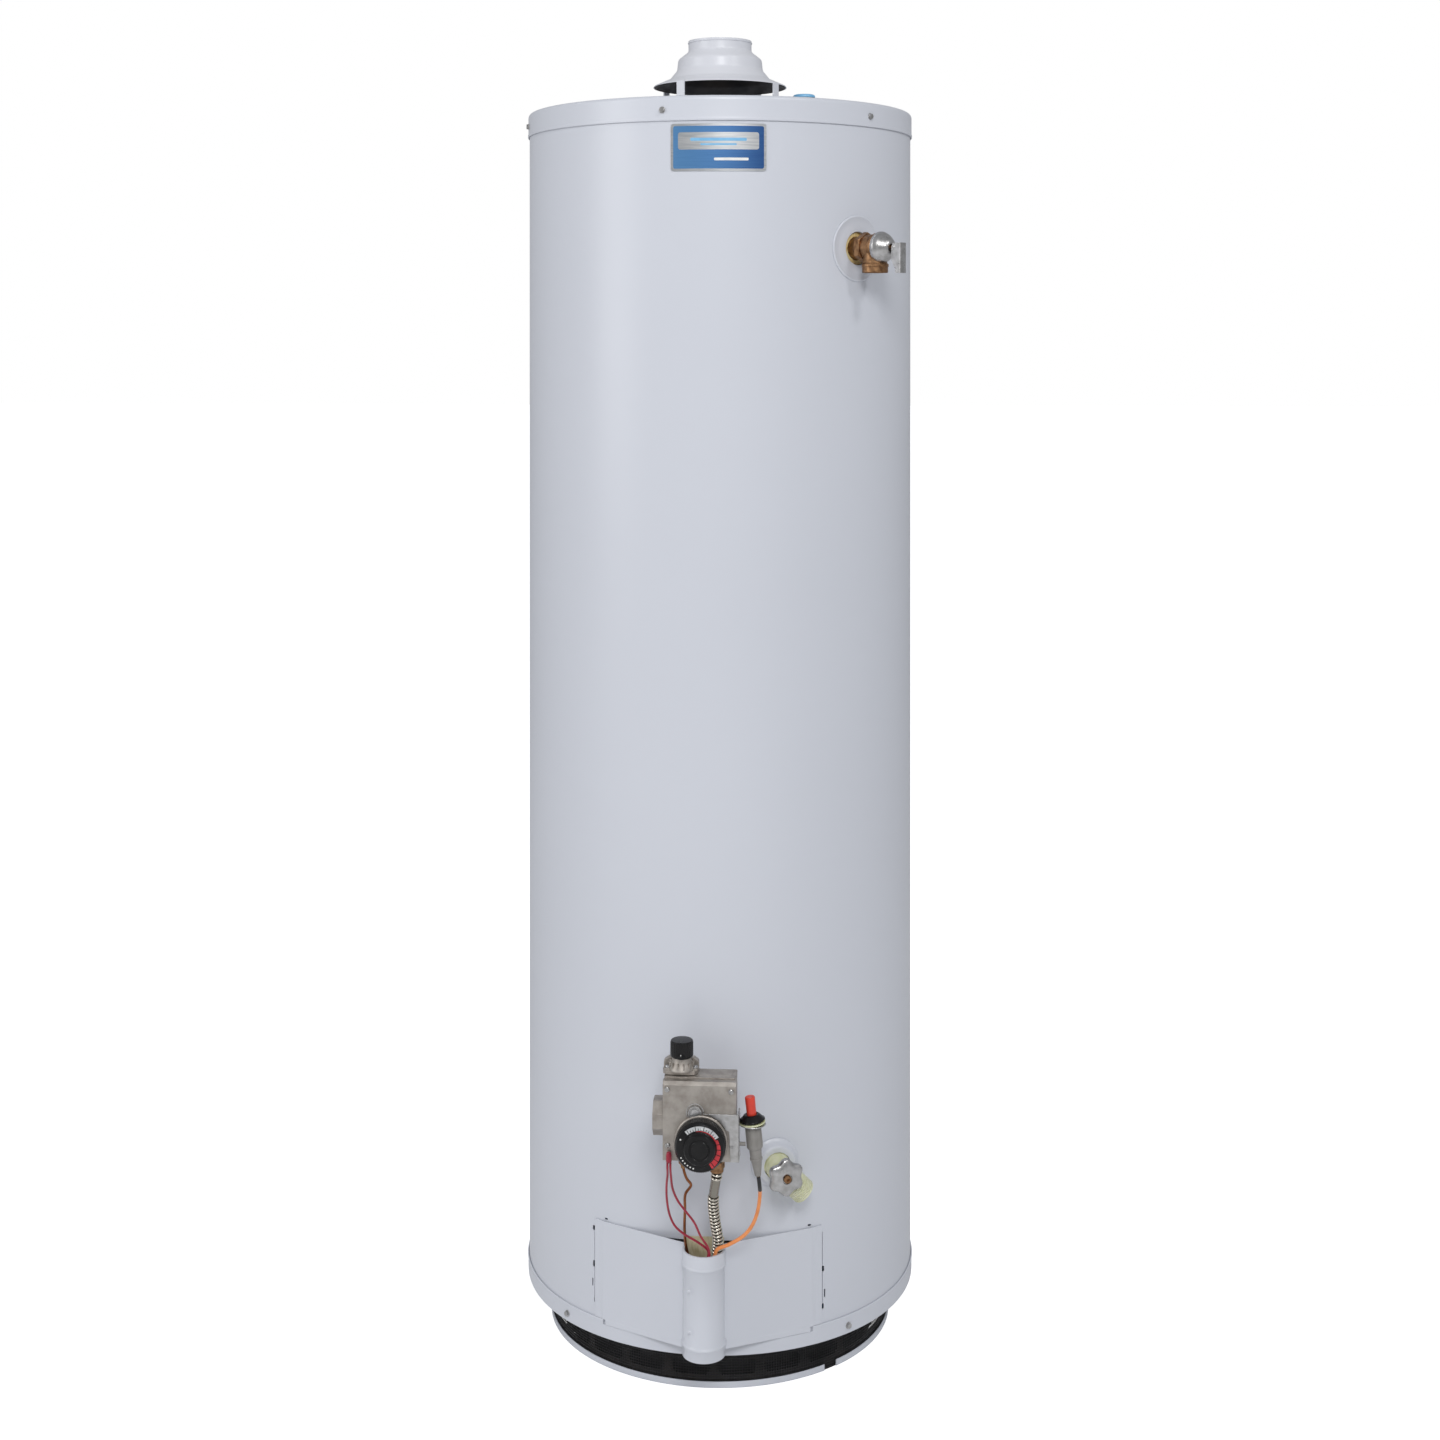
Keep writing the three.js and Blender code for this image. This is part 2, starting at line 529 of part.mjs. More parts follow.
// Lines from the control down through the conduit to the manifold plate.
function makeLines() {
  const flexPoints = [
    [17, -291, 289.6], [17, -290.5, 277], [12, -276.6, 241], [13, -266.3, 215], [15.6, -256.2, 189],
    [14, -250.5, 173], [13.5, -248, 150], [13, -241, 127], [13, -225, 114.5], [13, -209.5, 114],
  ];
  add('flex_gas_tube', line(flexPoints, 6.2, 10, 24), finish('#bdb9ae', 0.3, 1.0));

  const thermocouplePoints = [
    [-20, -291, 291.6], [-18, -291, 277], [-15.2, -287, 267], [-11.2, -284.4, 260], [-17.5, -279.6, 248],
    [-18.7, -272, 228.5], [-20, -263, 205], [-19.6, -254.7, 184], [-17.5, -250, 170], [-14, -246, 145],
    [-10, -236, 125], [-8, -222, 115], [-8, -209.2, 113],
  ];
  add('thermocouple_lead', line(thermocouplePoints, 1.5, 8, 32), finish('#8a5433', 0.35, 0.9));

  const boot = rod(3, 297, 308, 12).translate(-31.8, -317.4, 0);
  add('switch_boot', boot, finish('#8e1c22', 0.5, 0.0));
  const wireRoutes = [
    [
      [-33.3, -317.2, 296.3], [-33.5, -316, 291], [-34, -309, 281], [-36, -299, 265],
      [-36.6, -290, 247], [-34.5, -281, 226], [-29, -275, 211], [-20, -270.6, 201],
      [-4, -266, 189.6], [5.5, -262, 179], [2, -261, 162],
      [-1, -252, 138], [-1.5, -238, 122], [-1.5, -222, 117], [-1.5, -209.2, 116],
    ],
    [
      [-30.2, -317.2, 296.3], [-30.3, -316.5, 291], [-30.3, -311, 281], [-29.2, -301, 262],
      [-24.3, -293.3, 246], [-17, -287, 233], [-8.3, -280, 218], [-1.6, -271.5, 199],
      [6.5, -266.5, 183], [7, -265.5, 165], [6, -256, 142],
      [4, -246, 127], [3.4, -232, 113.5], [3.2, -220, 109], [3.2, -209.2, 108],
    ],
  ];
  wireRoutes.forEach((points, i) => {
    add(`switch_wire_${i + 1}`, line(points, 1.25, 8, 34), finish('#a32036', 0.45, 0.0));
  });

  const leadPoints = [
    [61.7, -300, 277.6], [62.8, -297.5, 267], [62.9, -290, 255], [60, -281.7, 233], [54, -275.5, 215],
    [44, -270.4, 200.7], [28, -266.2, 189], [14.8, -262, 181], [12.6, -261, 170], [13.8, -259, 150],
    [16, -252, 131], [18.5, -243, 119], [21.5, -231, 110], [22.5, -220, 106.5], [22.5, -209.2, 106],
  ];
  add('igniter_lead', line(leadPoints, 2, 8, 30), finish('#e58a45', 0.45, 0.0));
}

// Burner, manifold and pilot in the chamber under the tank, with the chamber's inner door.
function makeBurner() {
  const burnerProfile = [[0, 118], [18, 118], [80, 132], [86, 138], [80, 144], [0, 146]];
  add('burner', turned(burnerProfile, 24), finish('#77736e', 0.6, 0.8));

  const manifold = joined(
    box(-26, 28, -208.8, -207.2, 92, 130),
    rodOutward(6, 5, 207.3, 12).translate(13, 0, 110),
    box(-10, 19, -10, 6, 102, 117.7),
  );
  add('burner_manifold', manifold, bareSteel);

  const pilot = joined(rod(5, 112, 140, 12).translate(-14, -120, 0), box(-18, -10, -206.9, -119, 108, 112.5));
  add('pilot_burner', pilot, bareSteel);

  const shell = ring(203.8, 205.4, 70, 176);
  const glassSpot = { angle: -14, z: 134 };
  const windowHole = sideHole(10, glassSpot.angle, glassSpot.z, 190, 215, 16);
  const plate = common(shell, box(-84, 84, -220, -150, 70, 176));
  const glandHole = box(-24, 26, -215, -190, 96, 126);
  add('inner_door', cut(plate, glandHole, windowHole), bareSteel);
  const glass = common(shell, sideHole(9.6, glassSpot.angle, glassSpot.z, 190, 215, 16));
  add('sight_glass', glass, finish('#cfe0dc', 0.1, 0.0));
}

// Outer door: two flat wings bent off the jacket, meeting at an open-backed conduit for the lines.
function makeOuterDoor() {
  const seat = jacket.radius + gap;
  const wing = (side) => {
    const at = (radius, angle) => {
      const turn = angle * degree;
      return [side * radius * Math.sin(turn), -radius * Math.cos(turn)];
    };
    const root = [[side * 21.8, -244.9], [side * 21.8, -246.3]];
    const lifted = seat + 1;
    const whole = [
      at(seat, door.edge), at(lifted, door.bend), ...root,
      at(lifted + door.wall, door.bend), at(seat + door.wall, door.edge),
    ];
    const skirt = [at(lifted, door.bend - 0.5), ...root, at(lifted + door.wall, door.bend - 0.5)];
    return [prism(whole, pan.top + gap, door.top), prism(skirt, door.bottom, pan.top + 1)];
  };
  const { radius, wall, band, bottom, top } = conduit;
  const inside = radius - wall;
  const pipeProfile = [
    [inside, bottom], [radius + band, bottom], [radius + band, bottom + 12], [radius, bottom + 15],
    [radius, top - 17], [radius + band, top - 14], [radius + band, top], [inside, top], [inside, bottom],
  ];
  const pipe = turned(pipeProfile, tankSides).translate(0, conduit.y, 0);
  const backHalf = box(-40, 40, conduit.y + 4.4, conduit.y + 40, bottom - 5, top + 5);
  add('outer_door', joined(cut(pipe, backHalf), ...wing(-1), ...wing(1)), jacketEnamel);

  add('line_back_plate', box(-20.5, 20.5, -231.6, -230.4, 140, 181), finish('#bdb59c', 0.7, 0.0));
}

makeBase();
makeShells();
makeTop();
makeDraftHood();
makeScrews();
makePlates();
makeReliefValve();
makeDrainValve();
makeGasControl();
makeIgniter();
makeLines();
makeBurner();
makeOuterDoor();

export default heater;
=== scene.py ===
import json
import math

import bmesh
import bpy
from mathutils import Matrix, Vector


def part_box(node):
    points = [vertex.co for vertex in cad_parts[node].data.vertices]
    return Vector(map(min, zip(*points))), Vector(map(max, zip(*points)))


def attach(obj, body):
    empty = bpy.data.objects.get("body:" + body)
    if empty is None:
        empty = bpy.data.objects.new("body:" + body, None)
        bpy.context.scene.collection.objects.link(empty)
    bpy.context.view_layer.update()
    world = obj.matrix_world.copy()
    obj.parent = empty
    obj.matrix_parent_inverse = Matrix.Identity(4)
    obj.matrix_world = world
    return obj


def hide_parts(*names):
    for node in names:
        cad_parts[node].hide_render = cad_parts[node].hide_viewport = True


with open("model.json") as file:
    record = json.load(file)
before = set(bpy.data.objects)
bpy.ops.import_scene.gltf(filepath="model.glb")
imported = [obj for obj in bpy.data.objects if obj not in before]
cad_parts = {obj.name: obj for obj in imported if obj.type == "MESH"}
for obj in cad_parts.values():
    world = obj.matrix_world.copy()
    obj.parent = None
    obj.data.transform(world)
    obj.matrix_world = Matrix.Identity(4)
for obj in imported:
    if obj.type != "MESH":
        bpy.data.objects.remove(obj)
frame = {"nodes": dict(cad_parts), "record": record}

mm = 0.001
scene = bpy.context.scene
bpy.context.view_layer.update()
jacketRadius = 229.0
reliefPlace = {"angle": 46.5, "z": 1265.0}
drainPlace = {"angle": 19.3, "z": 258.5}
finishes = {}  # Blender material for each of the record's slots, and a few of this script's own


def boxMm(node):
    low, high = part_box(node)
    return low / mm, high / mm


# Shapes: a shape is (points, faces), in millimetres

def moved(shape, *matrices):
    whole = Matrix.Identity(4)
    for matrix in matrices:
        whole = whole @ matrix
    points, faces = shape
    return [whole @ Vector(point) for point in points], faces


def shifted(x, y, z):
    return Matrix.Translation((x, y, z))


def spun(degrees, axis):
    return Matrix.Rotation(math.radians(degrees), 4, axis)


outward = spun(90, "X")  # what was up now points out of the tank's front


def atSide(angle, z):
    return spun(angle, "Z") @ shifted(0, 0, z)


def turned(profile, sides=96, start=0, sweep=360):
    # Revolves (radius, height) points about Z. A profile that leaves the axis closes on itself.
    whole = sweep >= 360
    columns = sides if whole else sides + 1
    points, rows = [], []
    for radius, height in profile:
        if radius < 1e-6:
            rows.append([len(points)] * columns)
            points.append((0, 0, height))
            continue
        rows.append(list(range(len(points), len(points) + columns)))
        for i in range(columns):
            angle = math.radians(start + sweep * i / sides - 90)
            points.append((radius * math.cos(angle), radius * math.sin(angle), height))
    onAxis = profile[0][0] < 1e-6
    pairs = list(zip(rows, rows[1:])) + ([] if onAxis else [(rows[-1], rows[0])])
    faces = []
    for low, high in pairs:
        for i in range(sides):
            j = (i + 1) % columns
            corners = list(dict.fromkeys([low[i], low[j], high[j], high[i]]))
            if len(corners) > 2:
                faces.append(corners)
    if not whole:
        faces += [[row[0] for row in rows], [row[-1] for row in rows]]
    return points, faces


def prism(outline, low, high):
    count = len(outline)
    points = [(x, y, low) for x, y in outline] + [(x, y, high) for x, y in outline]
    faces = [list(range(count))[::-1], list(range(count, 2 * count))]
    for i in range(count):
        j = (i + 1) % count
        faces.append([i, j, count + j, count + i])
    return points, faces


def lofted(rings):
    # Joins rings that have the same number of points, and closes both ends.
    count = len(rings[0])
    points = [point for ring in rings for point in ring]
    faces = [list(range(count))[::-1], [len(points) - count + i for i in range(count)]]
    for k in range(len(rings) - 1):
        for i in range(count):
            j = (i + 1) % count
            faces.append([k * count + i, k * count + j, (k + 1) * count + j, (k + 1) * count + i])
    return points, faces


def block(x0, x1, y0, y1, z0, z1):
    return prism([(x0, y0), (x1, y0), (x1, y1), (x0, y1)], z0, z1)


def circle(radius, sides, x=0, y=0, start=0):
    turns = [math.radians(start + 360 * i / sides) for i in range(sides)]
    return [(x + radius * math.cos(turn), y + radius * math.sin(turn)) for turn in turns]


def rounded(outline, radius, steps=4, closed=True):
    # Swaps each corner for a short curve; a corner between near neighbours gets a smaller one.
    count = len(outline)
    made = []
    for i, corner in enumerate(outline):
        if not closed and i in (0, count - 1):
            made.append(tuple(corner))
            continue
        here = Vector(corner)
        before, after = Vector(outline[i - 1]), Vector(outline[(i + 1) % count])
        reach = min(radius, (before - here).length * 0.45, (after - here).length * 0.45)
        start = here + (before - here).normalized() * reach
        end = here + (after - here).normalized() * reach
        for k in range(steps + 1):
            t = k / steps
            made.append(tuple(start * (1 - t) ** 2 + here * 2 * t * (1 - t) + end * t ** 2))
    return made


def roundedRectangle(width, height, radius, x=0, y=0, steps=5):
    w, h = width / 2, height / 2
    return rounded([(x - w, y - h), (x + w, y - h), (x + w, y + h), (x - w, y + h)], radius, steps)


def wrapped(shape, angle, z, radius):
    # Bends a shape that was made flat, facing out along -Y from y = 0, round the jacket.
    points, faces = shape
    bent = []
    for x, y, up in points:
        turn = math.radians(angle) + x / radius
        bent.append(((radius - y) * math.sin(turn), -(radius - y) * math.cos(turn), z + up))
    return bent, faces


def smoothRoute(points, spacing=2.0):
    # The centripetal curve that the frame's own lines follow.
    ends = [Vector(points[0]) * 2 - Vector(points[1]), Vector(points[-1]) * 2 - Vector(points[-2])]
    knots = [ends[0]] + [Vector(p) for p in points] + [ends[1]]
    made = []
    for p0, p1, p2, p3 in zip(knots, knots[1:], knots[2:], knots[3:]):
        d0, d1, d2 = [math.sqrt((b - a).length) for a, b in ((p0, p1), (p1, p2), (p2, p3))]
        m1 = ((p1 - p0) / d0 - (p2 - p0) / (d0 + d1) + (p2 - p1) / d1) * d1
        m2 = ((p2 - p1) / d1 - (p3 - p1) / (d1 + d2) + (p3 - p2) / d2) * d1
        steps = max(2, round((p2 - p1).length / spacing))
        for k in range(steps):
            t = k / steps
            made.append(p1 * (2 * t**3 - 3 * t**2 + 1) + m1 * (t**3 - 2 * t**2 + t)
                        + p2 * (3 * t**2 - 2 * t**3) + m2 * (t**3 - t**2))
    return made + [knots[-2]]


def rawObject(name, shapes):
    points, faces = [], []
    for more, loops in shapes:
        start = len(points)
        points += [Vector(point) * mm for point in more]
        faces += [[start + i for i in loop] for loop in loops]
    mesh = bpy.data.meshes.new(name)
    mesh.from_pydata(points, [], faces)
    shell = bmesh.new()
    shell.from_mesh(mesh)
    bmesh.ops.recalc_face_normals(shell, faces=shell.faces)
    shell.to_mesh(mesh)
    shell.free()
    piece = bpy.data.objects.new(name, mesh)
    scene.collection.objects.link(piece)
    return piece


def plainMesh(holder):
    bpy.context.view_layer.update()
    evaluated = holder.evaluated_get(bpy.context.evaluated_depsgraph_get())
    return bpy.data.meshes.new_from_object(evaluated)


def shapeOf(mesh):
    return [v.co / mm for v in mesh.vertices], [list(p.vertices) for p in mesh.polygons]


def carved(shapes, tools, operation="DIFFERENCE", crossing=False):
    target, tool = rawObject("target", shapes), rawObject("tool", tools)
    carve = target.modifiers.new("carve", "BOOLEAN")
    carve.operation, carve.solver, carve.object, carve.use_self = operation, "EXACT", tool, crossing
    shape = shapeOf(plainMesh(target))
    bpy.data.objects.remove(target)
    bpy.data.objects.remove(tool)
    return shape


def settle(piece, body, replaced):
    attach(piece, body)
    if replaced:
        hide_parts(*replaced)
    return piece


def makePiece(name, shapes, slot, body="root", replaced=(), sharp=35):
    piece = rawObject(name, shapes)
    piece.data.materials.append(finishes[slot])
    piece.data.shade_smooth()
    piece.data.set_sharp_from_angle(angle=math.radians(sharp))
    return settle(piece, body, replaced)


def softNormals(piece):
    weighted = piece.modifiers.new("flats", "WEIGHTED_NORMAL")
    weighted.keep_sharp = True
    return piece


def softEdges(piece, width, segments=2, limit=35):
    bevel = piece.modifiers.new("edges", "BEVEL")
    bevel.width, bevel.segments, bevel.limit_method = width * mm, segments, "ANGLE"
    bevel.angle_limit = math.radians(limit)
    bevel.use_clamp_overlap = True
    return softNormals(piece)


def roundShading(piece):
    # A wall cut from a drum shades as the true round: its faces take the drum's own normals.
    mesh = piece.data
    normals = []
    for face in mesh.polygons:
        for index in face.loop_indices:
            point = mesh.vertices[mesh.loops[index].vertex_index].co
            out = Vector((point.x, point.y, 0)).normalized()
            along = face.normal.dot(out)
            normals.append(out * math.copysign(1, along) if abs(along) > 0.9 else face.normal)
    mesh.normals_split_custom_set(normals)
    return piece


# Nodes

def addNode(tree, kind, links=None, **settings):
    node = tree.nodes.new(kind)
    for key, value in settings.items():
        setattr(node, key, value)
    for key, value in (links or {}).items():
        if isinstance(value, bpy.types.NodeSocket):
            tree.links.new(value, node.inputs[key])
        else:
            node.inputs[key].default_value = value
    return node


def hexColour(code):
    parts = [int(code[i:i + 2], 16) / 255 for i in (1, 3, 5)]
    return [c / 12.92 if c <= 0.04045 else ((c + 0.055) / 1.055) ** 2.4 for c in parts] + [1.0]


def newFinish(slot, name, colour, sockets):
    material = bpy.data.materials.new(name)
    material.use_nodes = True
    tree = material.node_tree
    tree.nodes.clear()
    shader = addNode(tree, "ShaderNodeBsdfPrincipled", {"Base Color": hexColour(colour), **sockets})
    addNode(tree, "ShaderNodeOutputMaterial", {"Surface": shader.outputs["BSDF"]})
    place = addNode(tree, "ShaderNodeTexCoord").outputs["Object"]
    finishes[slot] = material
    return {"tree": tree, "shader": shader, "place": place}


def patches(made, sizeMm, stretch=(1, 1, 1), detail=3.0):
    tree = made["tree"]
    spread = addNode(tree, "ShaderNodeMapping", {"Vector": made["place"], "Scale": stretch})
    return addNode(tree, "ShaderNodeTexNoise", {
        "Vector": spread.outputs["Vector"], "Scale": 1000 / sizeMm, "Detail": detail}).outputs["Fac"]


def cells(made, sizeMm):
    return addNode(made["tree"], "ShaderNodeTexVoronoi", {
        "Vector": made["place"], "Scale": 1000 / sizeMm})


def shadeBetween(made, factor, first, second, low=0.35, high=0.65):
    tree = made["tree"]
    ramp = addNode(tree, "ShaderNodeMapRange", {"Value": factor, "From Min": low, "From Max": high})
    mix = addNode(tree, "ShaderNodeMix", {0: ramp.outputs[0], 6: hexColour(first), 7: hexColour(second)},
                  data_type="RGBA")
    tree.links.new(mix.outputs[2], made["shader"].inputs["Base Color"])


def glossBetween(made, factor, low, high):
    ramp = addNode(made["tree"], "ShaderNodeMapRange", {
        "Value": factor, "From Min": 0.3, "From Max": 0.7, "To Min": low, "To Max": high})
    made["tree"].links.new(ramp.outputs[0], made["shader"].inputs["Roughness"])


def reliefFrom(made, factor, depthMm):
    tree, shader = made["tree"], made["shader"]
    links = shader.inputs["Normal"].links
    earlier = {"Normal": links[0].from_socket} if links else {}
    bump = addNode(tree, "ShaderNodeBump", {"Height": factor, "Distance": depthMm * mm, **earlier})
    tree.links.new(bump.outputs["Normal"], shader.inputs["Normal"])


print("heater: finishes")


# Baked polyester enamel on sheet steel: a soft gloss with faint orange peel and cloudy tint.
def enamelFinish(slot, name, light, dark, roughness):
    made = newFinish(slot, name, light, {"Roughness": roughness, "IOR": 1.5})
    shadeBetween(made, patches(made, 260, detail=1.0), light, dark, 0.1, 0.9)
    glossBetween(made, patches(made, 140, detail=1.0), roughness - 0.02, roughness + 0.03)
    reliefFrom(made, patches(made, 2.4, detail=1.0), 0.012)


enamelFinish("jacket_enamel", "bakedEnamelJacket", "#cccfd7", "#c9ccd4", 0.32)
enamelFinish("hood_enamel", "bakedEnamelHood", "#dadbe1", "#d2d4da", 0.34)


# Phosphated sheet steel: near black with a dull brown cast and streaks from rolling.
def darkSteelFinish():
    made = newFinish("dark_steel", "phosphatedSteel", "#333232", {"Metallic": 0.4, "Roughness": 0.5})
    shadeBetween(made, patches(made, 24, (1, 1, 0.2)), "#2a292a", "#403b38")
    glossBetween(made, patches(made, 9), 0.42, 0.6)


# Black-lacquered wire cloth: matt, with a little shine where the wires cross.
def wireClothFinish():
    made = newFinish("black_mesh", "lacqueredWireCloth", "#1c1c1e", {"Roughness": 0.45})
    shadeBetween(made, patches(made, 30), "#0c0c0e", "#222123")
    glossBetween(made, patches(made, 6), 0.35, 0.6)


# Hot-dip galvanised sheet: grey crystals a few millimetres across.
def galvanisedFinish():
    made = newFinish("bare_steel", "galvanisedSheet", "#a4a6a6", {"Metallic": 1.0, "Roughness": 0.42})
    spangle = cells(made, 7)
    shadeBetween(made, spangle.outputs["Color"], "#8e9191", "#b8baba", 0.1, 0.9)
    glossBetween(made, spangle.outputs["Color"], 0.34, 0.5)
    reliefFrom(made, patches(made, 3), 0.01)


# Glass lining fired on steel: deep blue and glossy.
def glassLiningFinish():
    made = newFinish("tank_enamel", "firedGlassLining", "#3c4f86", {"Roughness": 0.22, "IOR": 1.52})
    shadeBetween(made, patches(made, 60), "#35477c", "#445992")
    reliefFrom(made, patches(made, 5), 0.03)


# Poured polyurethane foam: tan, matt and full of small cells.
def foamFinish():
    made = newFinish("foam", "pouredFoam", "#d6c287", {"Roughness": 0.9})
    shadeBetween(made, patches(made, 14), "#caa968", "#e0d09c")
    reliefFrom(made, cells(made, 1.6).outputs["Distance"], 0.5)


# Die-cast aluminium, tumbled: warm grey, satin, with a fine pitted skin.
def castAluminiumFinish():
    made = newFinish("cast_aluminium", "tumbledDieCast", "#a59e97", {"Metallic": 0.85, "Roughness": 0.46})
    shadeBetween(made, patches(made, 11, detail=6.0), "#9b948d", "#b2aca5")
    glossBetween(made, patches(made, 5), 0.4, 0.56)
    reliefFrom(made, patches(made, 1.1, detail=4.0), 0.06)


# Moulded phenolic: black with a soft shine.
def phenolicFinish():
    made = newFinish("black_plastic", "mouldedPhenolic", "#121213", {
        "Roughness": 0.28, "Specular IOR Level": 0.28})
    shadeBetween(made, patches(made, 8), "#0e0e0f", "#171617")
    reliefFrom(made, patches(made, 1.2), 0.012)


# Sand-cast brass: brown-gold with a grainy skin and brighter worn spots.
def castBrassFinish():
    made = newFinish("brass", "sandCastBrass", "#a98a57", {"Metallic": 1.0, "Roughness": 0.42})
    shadeBetween(made, patches(made, 5, detail=6.0), "#70523a", "#ad8662", 0.3, 0.7)
    glossBetween(made, patches(made, 3), 0.32, 0.55)
    reliefFrom(made, patches(made, 1.0, detail=4.0), 0.12)


# Zinc plate with a clear passivate: bright neutral grey, a little duller in places.
def zincPlateFinish():
    made = newFinish("zinc", "zincPlate", "#c3c2c1", {"Metallic": 1.0, "Roughness": 0.3})
    shadeBetween(made, patches(made, 7, detail=5.0), "#a9a8a6", "#c1c0c0")
    glossBetween(made, patches(made, 4), 0.26, 0.38)
    reliefFrom(made, patches(made, 0.9), 0.01)


# Moulded acetal, undyed: pale yellow-green and slightly see-through.
def acetalFinish():
    made = newFinish("pale_plastic", "mouldedAcetal", "#d8d9b0", {
        "Roughness": 0.38, "Subsurface Weight": 0.35, "Subsurface Scale": 0.006,
        "Subsurface Radius": (1.0, 0.95, 0.6)})
    shadeBetween(made, patches(made, 12), "#d2d4a8", "#e0e0bd")
    reliefFrom(made, patches(made, 1.5), 0.02)


# Moulded polypropylene in one colour, with the faint flow clouds of the mould.
def mouldedFinish(slot, name, light, dark, roughness):
    made = newFinish(slot, name, light, {"Roughness": roughness, "IOR": 1.49})
    shadeBetween(made, patches(made, 10), light, dark)
    glossBetween(made, patches(made, 6), roughness - 0.04, roughness + 0.08)
    reliefFrom(made, patches(made, 1.3), 0.015)


mouldedFinish("cold_blue", "mouldedPolypropyleneBlue", "#7fbbe2", "#73b0d9", 0.36)
mouldedFinish("hot_red", "mouldedPolypropyleneRed", "#c63a30", "#b8332a", 0.36)
mouldedFinish("button_red", "mouldedAbsRed", "#dd4431", "#d03c2b", 0.33)
mouldedFinish("grey_plastic", "mouldedNylonGrey", "#8f8c88", "#85827e", 0.46)
mouldedFinish("white_ink", "bakedWhiteInk", "#e9e9e6", "#dededb", 0.5)
mouldedFinish("red_ink", "bakedRedInk", "#c8323a", "#b92b33", 0.45)


# Silicone rubber insulation: soft, a little dusty.
def siliconeFinish(slot, name, light, dark):
    made = newFinish(slot, name, light, {"Roughness": 0.42, "IOR": 1.43, "Sheen Weight": 0.15})
    shadeBetween(made, patches(made, 9), light, dark)
    reliefFrom(made, patches(made, 1.0), 0.02)


siliconeFinish("wire_red", "siliconeRed", "#a3243a", "#8f1d33")
siliconeFinish("lead_orange", "siliconeOrange", "#f0985a", "#e48a4b")
siliconeFinish("black_sleeve", "shrinkSleeveBlack", "#222224", "#1a1a1c")


# Printed aluminium foil: brushed, blue, paler at the left edge than at the right.
def foilFinish():
    made = newFinish("name_plate", "printedFoil", "#4a7fb8", {"Metallic": 0.55, "Roughness": 0.34})
    tree = made["tree"]
    low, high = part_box("name_plate")
    across = addNode(tree, "ShaderNodeSeparateXYZ", {"Vector": made["place"]}).outputs["X"]
    slope = addNode(tree, "ShaderNodeMapRange", {"Value": across, "From Min": low.x, "From Max": high.x})
    brushed = patches(made, 1.2, (0.03, 0.03, 1))
    streaks = addNode(tree, "ShaderNodeMath", {0: brushed, 1: 0.35}, operation="MULTIPLY")
    total = addNode(tree, "ShaderNodeMath", {0: slope.outputs[0], 1: streaks.outputs[0]}, operation="ADD")
    shadeBetween(made, total.outputs[0], "#5f93c4", "#28528c", 0.1, 1.2)
    reliefFrom(made, brushed, 0.01)


# Brushed bright aluminium: silver with fine streaks along the brushing.
def brushedSilverFinish():
    made = newFinish("brushed_silver", "brushedAluminium", "#cfd1d3", {"Metallic": 1.0, "Roughness": 0.3})
    brushed = patches(made, 1.2, (0.05, 0.05, 1))
    shadeBetween(made, brushed, "#c3c6c9", "#dcdddd")
    reliefFrom(made, brushed, 0.01)


# Stainless corrugated tube: slightly warm, with painted shade running from pale on the ribs to near black in the
# grooves.
def stainlessFinish():
    made = newFinish("nickel", "formedStainless", "#cbc5b6", {"Metallic": 1.0, "Roughness": 0.2})
    # Painted shade: the deeper a point lies below the ribs, the darker its colour.
    groove_shade = addNode(made["tree"], "ShaderNodeAttribute", attribute_name="groove_shade").outputs["Fac"]
    shadeBetween(made, groove_shade, "#ece6d8", "#2f2a23", 0.1, 0.7)
    glossBetween(made, patches(made, 7), 0.15, 0.28)


# Annealed copper: brown with a dark oxide film that comes and goes.
def copperFinish():
    made = newFinish("copper", "oxidisedCopper", "#8a5637", {"Metallic": 1.0, "Roughness": 0.38})
    shadeBetween(made, patches(made, 13, detail=5.0), "#74452b", "#a56b47")
    glossBetween(made, patches(made, 5), 0.28, 0.5)


# Pressed mineral board: tan, matt, with short fibres.
def fibreBoardFinish():
    made = newFinish("fibre_board", "pressedMineralBoard", "#c4ba98", {"Roughness": 0.85})
    shadeBetween(made, patches(made, 4, (1, 1, 0.4), 6.0), "#b5aa86", "#d3caab")
    reliefFrom(made, patches(made, 1.4, detail=5.0), 0.15)


# Borosilicate sight glass: clear with a green edge.
def sightGlassFinish():
    made = newFinish("sight_glass", "borosilicate", "#d9ece6", {
        "Roughness": 0.06, "IOR": 1.47, "Transmission Weight": 0.8})
    glossBetween(made, patches(made, 12), 0.04, 0.12)


# White acrylic sweep lit from below: matt, and bright enough to lose its horizon.
def floorFinish():
    made = newFinish("floor", "backlitAcrylic", "#f0f0f0", {
        "Roughness": 0.7, "Emission Color": hexColour("#ffffff"), "Emission Strength": 0.0})
    shadeBetween(made, patches(made, 400), "#eeeeee", "#f2f2f2")
    tree = made["tree"]
    seen = addNode(tree, "ShaderNodeLightPath").outputs["Is Camera Ray"]
    glow = addNode(tree, "ShaderNodeMath", {0: seen, 1: 0.8}, operation="MULTIPLY").outputs[0]
    tree.links.new(glow, made["shader"].inputs["Emission Strength"])


for makeFinish in (darkSteelFinish, wireClothFinish, galvanisedFinish, glassLiningFinish, foamFinish,
                   castAluminiumFinish, phenolicFinish, castBrassFinish, zincPlateFinish, acetalFinish,
                   foilFinish, brushedSilverFinish, stainlessFinish, copperFinish, fibreBoardFinish,
                   sightGlassFinish, floorFinish):
    makeFinish()

for part in frame["record"]["subparts"]:  # the frame's own meshes, dressed in the same finishes
    mesh = frame["nodes"][part["node"]].data
    mesh.materials.clear()
    mesh.materials.append(finishes[part["material_slot"]])


